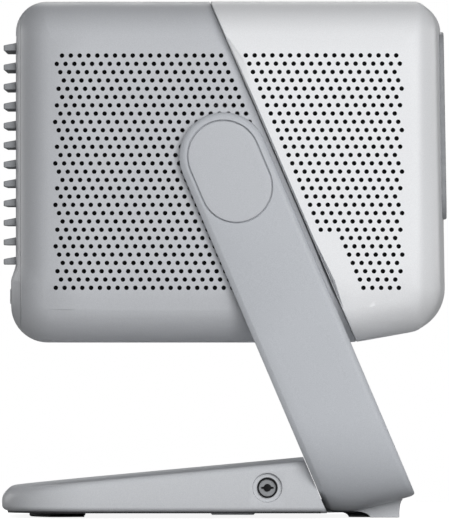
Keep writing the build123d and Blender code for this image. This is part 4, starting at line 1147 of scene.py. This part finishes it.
# ---------------------------------------------------------------- stand
@dataclass
class Yoke:
    """Slanted two-armed yoke: flat arms with soft edges that roll under into a crossbar."""

    angle: float = 66.9
    half: float = 20.0
    arm: float = 8.4
    bar: float = 18.0
    floor: float = 3.0
    bend: float = 44.0
    crown: float = 0.8            # the outer face falls this much at both edges
    edge_front: float = 3.0
    edge_rear: float = 2.5
    edge_inner: float = 1.0
    nose_x: float = 57.8          # the underside starts to rise here
    nose_slope: float = 0.22
    cap_reach: float = 15.0
    cap_radius: float = 16.05
    groove_width: float = 0.6     # round the pivot cover plate
    groove_depth: float = 2.4

    def __post_init__(self) -> None:
        """Directions of the arm, and places from the frame."""
        self.pivot = joint_mm("tilt")[[0, 2]]
        self.outer = box_mm("yoke")[1][1]
        a = radians(self.angle)
        self.run = np.array([cos(a), -sin(a)])
        self.side = np.array([sin(a), cos(a)])
        self.slope = 1.0 / tan(a)
        self.bend_z = self.floor + self.bend

    def folded(self, flat: Array, depth: Array) -> Array:
        """Carries a flat arm (x, unrolled height) round the lower corner and under.

        Below the bend the unrolled height is a length along a quarter circle and then along the
        crossbar. X moves with the real height, so both edges stay straight in side view.

        Args:
            flat: x and unrolled height.
            depth: distance under the outer surface.

        Returns:
            Points of the right half.
        """
        x, z0 = flat[..., 0], flat[..., 1]
        aside = ((flat - self.pivot) @ self.side) / self.half
        depth = np.broadcast_to(depth, x.shape)
        depth = depth + self.crown * aside**2 * np.clip(1.0 - depth / 3.0, 0.0, 1.0)
        below = np.maximum(self.bend_z - z0, 0.0)
        arc = self.bend * pi / 2
        theta = np.minimum(below, arc) / self.bend
        past = np.maximum(below - arc, 0.0)
        radius = self.bend - depth
        inner = self.outer - self.bend
        y = inner + radius * np.cos(theta) - past
        z = np.where(below > 0, self.bend_z - radius * np.sin(theta), z0)
        x = x + (z0 - z) * self.slope
        rise = self.nose_slope * np.maximum(x - self.nose_x, 0.0)
        lift = rise * np.sin(theta) ** 6 * np.clip(1.0 - depth / self.bar, 0.0, 1.0)
        return np.stack([x - lift * self.slope, -y, z + lift], -1)

    def soft(self, right: bool, steps: Array) -> Array:
        """Edge radius along one side, which blends to the mean of both sides at the top."""
        own = self.edge_front if right else self.edge_rear
        mean = (self.edge_front + self.edge_rear) / 2
        return own + (mean - own) * smoothstep(steps - 1.0)

    def rows(self, inset: Array | float, right: bool, steps: Array) -> Array:
        """One edge of the arm, from the middle of the crossbar to the top of the round end.

        Args:
            inset: distance inwards from the outline, for all rows or for each.
            right: front edge or rear edge.
            steps: 0 to 1 is the straight part, 1 to 2 a quarter of the round end.

        Returns:
            Points (x, unrolled height).
        """
        way = 1.0 if right else -1.0
        end = self.bend_z - self.bend * pi / 2 - (self.outer - self.bend)
        reach = np.broadcast_to(self.half - np.asarray(inset), steps.shape)[:, None]
        top = self.pivot + self.side * way * reach
        bottom = top + self.run * (top[:, 1:] - end) / -self.run[1]
        t = np.clip(steps, 0, 1)[:, None]
        straight = bottom + (top - bottom) * t
        beta = (np.clip(steps, 1, 2) - 1.0)[:, None] * pi / 2
        spoke = self.side * way * np.cos(beta) - self.run * np.sin(beta)
        round_end = self.pivot + spoke * reach
        return np.where(steps[:, None] <= 1, straight, round_end)

    def thickness(self, z0: Array) -> Array:
        """Arm thickness, growing softly to the crossbar's round the bend."""
        return self.arm + (self.bar - self.arm) * smoothstep((self.bend_z + 4 - z0) / 62.0)

    def build(self) -> None:
        """Yoke and both caps."""
        low = np.linspace(0.0, 1.0, 90)
        steps = np.concatenate([low, 1 + (np.linspace(0, 1, 22)[1:])])
        split = 62
        skin = Skin()
        left = self.rows(self.soft(False, steps), False, steps)
        right = self.rows(self.soft(True, steps), True, steps)
        t = np.linspace(0, 1, 9)[None, :, None]
        face = left[:split + 1, None] * (1 - t) + right[:split + 1, None] * t
        skin.grid(self.folded(face, 0.0))
        upper_left, upper_right = left[split:], right[split:]
        outline = np.concatenate([face[split, :-1], upper_right[:-1], upper_left[:0:-1]])
        cap_end = self.pivot + self.run * self.cap_reach
        mouth, bottom = self.cap_radius + self.groove_width + 0.1, self.cap_radius + self.groove_width
        recess = stadium(self.pivot, cap_end, mouth)
        flat, tris = flat_fill(outline, [recess])
        skin.patch(self.folded(flat, 0.0), tris=tris)
        groove = [(mouth, 0.0), (bottom, 0.12), (bottom, self.groove_depth)]
        rings = [self.folded(stadium(self.pivot, cap_end, r), np.float64(d)) for r, d in groove]
        skin.grid(np.stack(rings), wrap_cols=True)
        flat, tris = flat_fill(stadium(self.pivot, cap_end, bottom))
        skin.patch(self.folded(flat, self.groove_depth), tris=tris)
        strips = []
        phi = np.linspace(0, pi / 2, 7)
        for right_edge in (True, False):
            columns = []
            radius = self.soft(right_edge, steps)
            power = 1.0 if right_edge else 1.0 + 0.7 * (1.0 - smoothstep(steps - 1.0))
            for p in phi:
                flat = self.rows(radius * (1 - np.sin(p) ** power), right_edge, steps)
                columns.append(self.folded(flat, radius * (1 - np.cos(p) ** power)))
            wall = self.rows(0.0, right_edge, steps)
            depth = self.thickness(wall[:, 1])
            inner = self.edge_inner
            for p in phi[::2]:
                flat = self.rows(inner * (1 - np.cos(p)), right_edge, steps)
                columns.append(self.folded(flat, depth - inner * (1 - np.sin(p))))
            strips.append(np.stack(columns, 1))
        for strip in strips:
            skin.grid(strip)
        inner_right = self.rows(self.edge_inner, True, steps)
        inner_left = self.rows(self.edge_inner, False, steps)
        back = inner_left[:, None] * (1 - t) + inner_right[:, None] * t
        depth = self.thickness(self.rows(0.0, True, steps)[:, 1])[:, None]
        depth_left = self.thickness(self.rows(0.0, False, steps)[:, 1])[:, None]
        mixed = depth_left * (1 - t[..., 0]) + depth * t[..., 0]
        skin.grid(self.folded(back, mixed))
        skin.mirror_y()
        place(skin, "yoke_casting", "stand", ARM_LACQUER, ["yoke"], sharp=40.0)
        for sign, side in ((-1.0, "right"), (1.0, "left")):
            self.cap(sign, side, cap_end)

    def cap(self, sign: float, side: str, end: Array) -> None:
        """Flush pivot cover plate with a soft edge and a flat face."""
        levels = [(0.0, 2.3), (0.0, 0.45), (0.08, 0.2), (0.25, 0.06), (0.6, 0.0), (3.0, 0.0), (6.0, 0.0),
                  (9.0, 0.0), (12.0, 0.0), (14.5, 0.0)]
        loops = [self.folded(stadium(self.pivot, end, self.cap_radius - i), np.float64(d)) for i, d in levels]
        cap = Skin()
        turned = np.array([1.0, -sign, 1.0])
        cap.grid(np.stack(loops) * turned, wrap_cols=True)
        flat, tris = flat_fill(stadium(self.pivot, end, self.cap_radius - levels[-1][0]))
        cap.patch(self.folded(flat, np.float64(0.0)) * turned, tris=tris)
        place(cap, f"pivot_plate_{side}", "stand", CAP_LACQUER, [f"pivot_cap_{side}"])


@dataclass
class WedgeBase:
    """Low wedge behind the yoke with rolled edges and the power inlet."""

    slope: float = 5.36
    rear_height: float = 13.3     # top plane at the rear edge
    corner: float = 40.0
    roll_side: float = 3.3
    roll_rear: float = 5.2
    roll_low: float = 3.0         # height of the lower edge's roll
    roll_under: float = 8.0       # reach of that roll under the base
    pocket: float = 6.95
    window_half: float = 9.0

    def __post_init__(self) -> None:
        """Sizes from the frame."""
        self.low, self.high = box_mm("base_shell")
        pin = box_mm("dc_pin")
        self.jack = (pin[0] + pin[1]) / 2

    def top(self, x: Array) -> Array:
        """Height of the sloping top plane."""
        return self.rear_height + (x - self.low[0]) * tan(radians(self.slope))

    def plan(self, inset: Array | float) -> Array:
        """Plan outline from the front right, round the rear, to the front left.

        Returns:
            Points (x, y) for a constant or changing inset.
        """
        half = self.high[1]
        x0, x1 = self.low[0], self.high[0] + 12.0
        j0, j1 = self.jack[0] - self.window_half, self.jack[0] + self.window_half
        side = np.array([x1, 40.0, j1, (j0 + j1) / 2, j0, -5.0, -20.0, -40.0])
        a = np.linspace(0, pi / 2, 19)
        centre = x0 + self.corner
        right = np.stack([side, np.full(len(side), -half)], 1)
        arc = np.stack([centre - self.corner * np.sin(a), -half + self.corner * (1 - np.cos(a))], 1)
        rear = np.stack([np.full(9, x0), np.linspace(-half + self.corner, half - self.corner, 11)[1:-1]], 1)
        points = np.concatenate([right, arc, rear, (arc * [1, -1])[::-1], (right * [1, -1])[::-1]])
        normal_right = np.tile([0.0, 1.0], (len(side), 1))
        normal_arc = np.stack([np.sin(a), np.cos(a)], 1)
        normal_rear = np.tile([1.0, 0.0], (9, 1))
        normals = np.concatenate([normal_right, normal_arc, normal_rear, (normal_arc * [1, -1])[::-1],
                                  (normal_right * [1, -1])[::-1]])
        return points + normals * np.reshape(inset, (-1, 1))

    def build(self, yoke: Yoke) -> None:
        """Shell with the inlet's recess, and the inlet."""
        edge = self.plan(0.0)
        rearward = smoothstep((self.low[0] + 45.0 - edge[:, 0]) / 40.0)
        roll = self.roll_side + (self.roll_rear - self.roll_side) * rearward
        levels = []
        for p in np.linspace(0, pi / 2, 7):
            flat = self.plan(self.roll_under * (1 - np.sin(p)))
            height = np.full(len(flat), self.low[2] + self.roll_low * (1 - np.cos(p)))
            levels.append(np.column_stack([flat, height]))
        inner = np.column_stack([self.plan(self.roll_under + 4.0), np.full(len(edge), self.low[2])])
        lower = np.stack([inner] + levels)
        upper = []
        for p in np.linspace(0, pi / 2, 11):
            flat = self.plan(roll * (1 - np.cos(p)))
            upper.append(np.column_stack([flat, self.top(flat[:, 0]) - roll * (1 - np.sin(p))]))
        flat = self.plan(roll + 0.5)
        upper.append(np.column_stack([flat, self.top(flat[:, 0])]))
        upper = np.stack(upper)
        skin = Skin()
        skin.grid(lower)
        skin.grid(upper)
        wall = np.stack([lower[-1], upper[0]])
        rows, cols = wall.shape[:2]
        quads = grid_quads(rows, cols)
        open_cols = (quads[:, 0] % cols >= 2) & (quads[:, 0] % cols < 4)
        skin.patch(wall, quads[~open_cols])
        ring = np.concatenate([wall[0, 2:5], wall[1, 2:5][::-1]])[:, [0, 2]]
        hole = circle((self.jack[0], self.jack[2]), self.pocket, 64)
        skin.wall(ring, -self.high[1], [hole])
        steps = [(0.0, 0.0), (0.12, 0.05), (0.3, 0.25), (0.45, 2.5), (2.2, 2.5), (2.2, 3.4)]
        at = (self.jack[0], self.jack[2])
        loops = [np.insert(circle(at, self.pocket - i, 64), 1, -self.high[1] + d, axis=1) for i, d in steps]
        skin.grid(np.stack(loops), wrap_cols=True)
        inner = upper[-1]
        flat, tris = flat_fill(inner[:, :2])
        skin.patch(np.column_stack([flat, self.top(flat[:, 0])]), tris=tris)
        edit = skin.bm()
        spot = yoke.pivot + yoke.side * -(yoke.half + 0.25)
        point = (spot[0], 0.0, spot[1])
        normal = (yoke.side[0], 0.0, yoke.side[1])
        cut(edit, point, normal, Side.BEHIND)
        bmesh.ops.recalc_face_normals(edit, faces=edit.faces)
        turn_in(edit, point, normal, [(0.25, 0.0), (1.5, -0.2)])
        place(edit, "base_wedge", "stand", BASE_LACQUER, ["base_shell"], sharp=40.0)
        self.inlet()

    def inlet(self) -> None:
        """Black barrel socket with its sprung centre contact."""
        x, z, face = self.jack[0], self.jack[2], -self.high[1]
        at = (x, face, z)
        steps = [(4.75, 3.2), (4.62, 1.4), (4.45, 0.95), (4.2, 0.8), (4.0, 0.9), (3.85, 1.2), (3.85, 6.0)]
        turned(steps, at, "y", "inlet_ring", "stand", BLACK_PLASTIC, ["dc_socket"])
        turned([(3.86, 2.2), (3.8, 2.6), (0.0, 2.7)], at, "y", "inlet_cup", "stand", LOUVRE_PLASTIC)
        pin = Skin()
        steps = [(1.75, 2.7), (1.7, 1.7), (1.45, 1.35), (0.9, 1.25), (0.0, 1.25)]
        pin.grid(lathe(np.array(steps) + [0.0, face], (x, 0, z), "y", 40), wrap_cols=True)
        for way in (-1.0, 1.0):
            span = np.array([1.2, 2.8]) * way + x
            box = np.array([[(span[0], d, z - 0.55), (span[1], d, z - 0.35), (span[1], d, z + 0.35),
                             (span[0], d, z + 0.55)] for d in (face + 2.6, face + 1.9)])
            pin.grid(box, wrap_cols=True)
            pin.patch(box[1], quads=np.array([[0, 1, 2, 3]]))
        place(pin, "inlet_contact", "stand", BLACK_PLASTIC, ["dc_pin"], sharp=30.0)


@dataclass
class Foot:
    """Two arc feet under the swivel disc, and the lip under the yoke's nose."""

    arc: float = 30.0
    skirt_half: float = 72.0      # half-width of the lip under the nose
    skirt_rear: float = 66.2      # rear edge of the lip's foot
    skirt_front: float = 79.7     # front edge of the lip's foot
    skirt_tip: float = 81.2       # front edge of the lip's top
    skirt_clear: float = 0.25     # gap between the lip and the table
    skirt_tuck: float = 0.2       # the lip's top edges are this far inside the yoke

    def build(self) -> None:
        """Both arc feet."""
        lo, hi = box_mm("swivel_disc")
        centre = (lo[0] + hi[0]) / 2
        outer = hi[0] - centre
        floor = lo[2]
        skin = Skin()
        for turn, inner, flare in ((0.0, 70.9, 8.3), (180.0, 67.1, 2.0)):
            foot = self.section(outer, inner, flare, floor)
            angle = np.radians(turn + np.linspace(-self.arc, self.arc, 33))
            middle = foot[:, 0].mean()
            end = np.clip((1 - np.abs(np.linspace(-1, 1, 33))) / 0.06, 0, 1)
            squeeze = 0.72 + 0.28 * np.sqrt(1 - (1 - end) ** 2)
            r = middle + (foot[None, :, 0] - middle) * squeeze[:, None]
            grid = np.stack([
                centre + r * np.cos(angle)[:, None], r * np.sin(angle)[:, None],
                np.broadcast_to(foot[None, :, 1], r.shape),
            ], -1)
            skin.grid(grid, wrap_cols=True)
            skin.lids(grid)
        place(skin, "arc_feet", "foot", FOOT_RUBBER, ["foot_pads"], sharp=40.0)

    def skirt(self, yoke: Yoke) -> None:
        """Solid lip moulded under the yoke's nose, hollowed at both sides, just clear of the table."""
        t = np.linspace(0.0, pi / 2, 7)
        ground, x_root, x_tip = self.skirt_clear, yoke.nose_x, self.skirt_tip
        z_root = yoke.floor + self.skirt_tuck
        z_tip = yoke.floor + yoke.nose_slope * (x_tip - yoke.nose_x) + self.skirt_tuck
        rear = np.stack([x_root + (self.skirt_rear - x_root) * np.sin(t),
                         z_root - (z_root - ground) * (1 - np.cos(t))], 1)
        front = np.stack([self.skirt_front + (x_tip - self.skirt_front) * (1 - np.cos(t)),
                          ground + (z_tip - ground) * np.sin(t)], 1)
        roof = np.array([(x_tip - 0.4, z_tip + 0.8), (x_root + 2.0, z_root + 1.2)])
        section = np.concatenate([rear, front, roof])
        middle = section.mean(0)
        skin = Skin()
        levels = [(-self.skirt_half, 0.96), (-self.skirt_half + 0.3, 0.985), (-self.skirt_half + 1.0, 1.0)]
        levels += [(-y, scale) for y, scale in levels[::-1]]
        rings = [np.insert(middle + (section - middle) * scale, 1, y, axis=1) for y, scale in levels]
        skin.grid(np.stack(rings), wrap_cols=True)
        for y, scale in (levels[0], levels[-1]):
            skin.wall(middle + (section - middle) * scale, y)
        place(skin, "nose_skirt", "stand", BASE_LACQUER, sharp=40.0)

    def section(self, outer: float, inner: float, flare: float, floor: float) -> Array:
        """Foot section (radius, height): upright outer side, inner side flaring up."""
        t = np.linspace(0, pi / 2, 7)
        inside = np.stack([inner - flare * (1 - np.cos(t)), floor * np.sin(t)], 1)
        bottom = np.array([[outer - 0.5, 0.0], [inner + 0.3, 0.0]])
        return np.concatenate([[[outer, floor]], [[outer, 0.5]], bottom, inside])


# ---------------------------------------------------------------- scene
@dataclass
class Studio:
    """Plain pale floor, soft light and the camera."""

    span: float = 236.3           # height of the view at the object, mm
    away: float = 9.5             # camera distance from the head's middle plane, m
    near: float = 0.1             # the side faces are this much nearer
    aim_z: float = 117.6

    def camera(self) -> None:
        """Long lens level with the middle of the head, looking along +Y."""
        data = bpy.data.cameras.new("camera")
        data.sensor_width = 36.0
        data.lens = data.sensor_width * (self.away - self.near) / (self.span * MM)
        data.clip_end = 200.0
        data.clip_start = 0.1
        obj = bpy.data.objects.new("camera", data)
        obj.location = (0.0, -self.away, self.aim_z * MM)
        obj.rotation_euler = (pi / 2, 0.0, 0.0)
        bpy.context.scene.collection.objects.link(obj)
        bpy.context.scene.camera = obj

    def lamp(self, name: str, at: Sequence[float], size: Sequence[float], watts: float,
             gloss: bool = True) -> None:
        """Rectangular soft box that points at the head; without gloss it leaves no reflection."""
        aim = (0.0, 0.0, 0.13)
        data = bpy.data.lights.new(name, "AREA")
        data.shape = "RECTANGLE"
        data.size, data.size_y = size
        data.energy = watts
        obj = bpy.data.objects.new(name, data)
        obj.location = at
        obj.rotation_euler = (Vector(aim) - Vector(at)).to_track_quat("-Z", "Y").to_euler()
        obj.visible_glossy = gloss
        obj.visible_camera = False
        bpy.context.scene.collection.objects.link(obj)

    def world(self) -> None:
        """White surroundings to the eye, and a dimmer grey as light."""
        world = bpy.data.worlds.new("studio")
        bpy.context.scene.world = world
        world.use_nodes = True
        tree = world.node_tree
        tree.nodes.clear()
        dim = add(tree, "ShaderNodeBackground", {"Color": colour("f2f4f7"), "Strength": 0.11})
        bright = add(tree, "ShaderNodeBackground", {"Color": (1.0, 1.0, 1.0, 1.0), "Strength": 1.0})
        path = add(tree, "ShaderNodeLightPath")
        mix = add(tree, "ShaderNodeMixShader", {0: path.outputs["Is Camera Ray"], 1: dim.outputs[0],
                                               2: bright.outputs[0]})
        add(tree, "ShaderNodeOutputWorld", {"Surface": mix.outputs[0]})

    def floor(self) -> None:
        """Round pale table top."""
        edit = bmesh.new()
        bmesh.ops.create_circle(edit, cap_ends=True, segments=96, radius=0.5)
        made = bpy.data.meshes.new("floor")
        edit.to_mesh(made)
        edit.free()
        obj = bpy.data.objects.new("floor", made)
        bpy.context.scene.collection.objects.link(obj)
        table = LightTable("backlit_acrylic", "", "b4b4b4", 0.7, light="b8b8b8", grain=3.0, glow=0.9)
        made.materials.append(table.material())

    def build(self) -> None:
        """Everything round the object."""
        bpy.context.scene.view_settings.view_transform = "Standard"
        self.camera()
        self.world()
        self.floor()
        self.lamp("front_box", (0.32, -2.4, 0.58), (1.2, 1.0), 47.0, False)
        self.lamp("front_gloss", (1.3, -2.2, 0.6), (1.0, 1.0), 5.0)
        self.lamp("top_box", (0.0, 1.5, 1.1), (0.9, 0.5), 3.5)
        self.lamp("back_left_box", (-1.2, 2.3, 0.8), (0.9, 0.9), 34.0, False)
        self.lamp("back_right_box", (1.2, 2.3, 0.8), (0.9, 0.9), 26.0, False)
        self.lamp("lens_side_box", (1.6, 1.2, 0.3), (0.5, 0.9), 3.5)
        self.lamp("rear_box", (-1.5, 1.4, 0.3), (0.5, 0.9), 3.5)


def dress_frame() -> None:
    """Gives every CAD piece that stays its procedural finish, by its record slot."""
    finishes = {f.slot: f for f in CARRIED}
    # the swivel disc takes a lighter grey than its slot's, as painted light for the shade under the base
    own = {"swivel_disc": DISC_PLASTIC}
    for part in frame["record"]["subparts"]:
        obj = frame["nodes"][part["node"]]
        finish = own.get(part["node"], finishes.get(part["material_slot"], REAR_LACQUER))
        for slot in obj.material_slots:
            slot.material = finish.material()
        LOG.info("%s dressed as %s", part["node"], finish.name)


def main() -> None:
    """Builds the looks piece by piece."""
    logging.basicConfig(level=logging.INFO, format="%(message)s")
    dress_frame()
    head = Head()
    head.build()
    Louvres().build(head)
    FrontPanel().build(head)
    PortBand().build(head)
    yoke = Yoke()
    yoke.build()
    WedgeBase().build(yoke)
    foot = Foot()
    foot.build()
    foot.skirt(yoke)
    Studio().build()


if __name__ == "__main__":
    main()
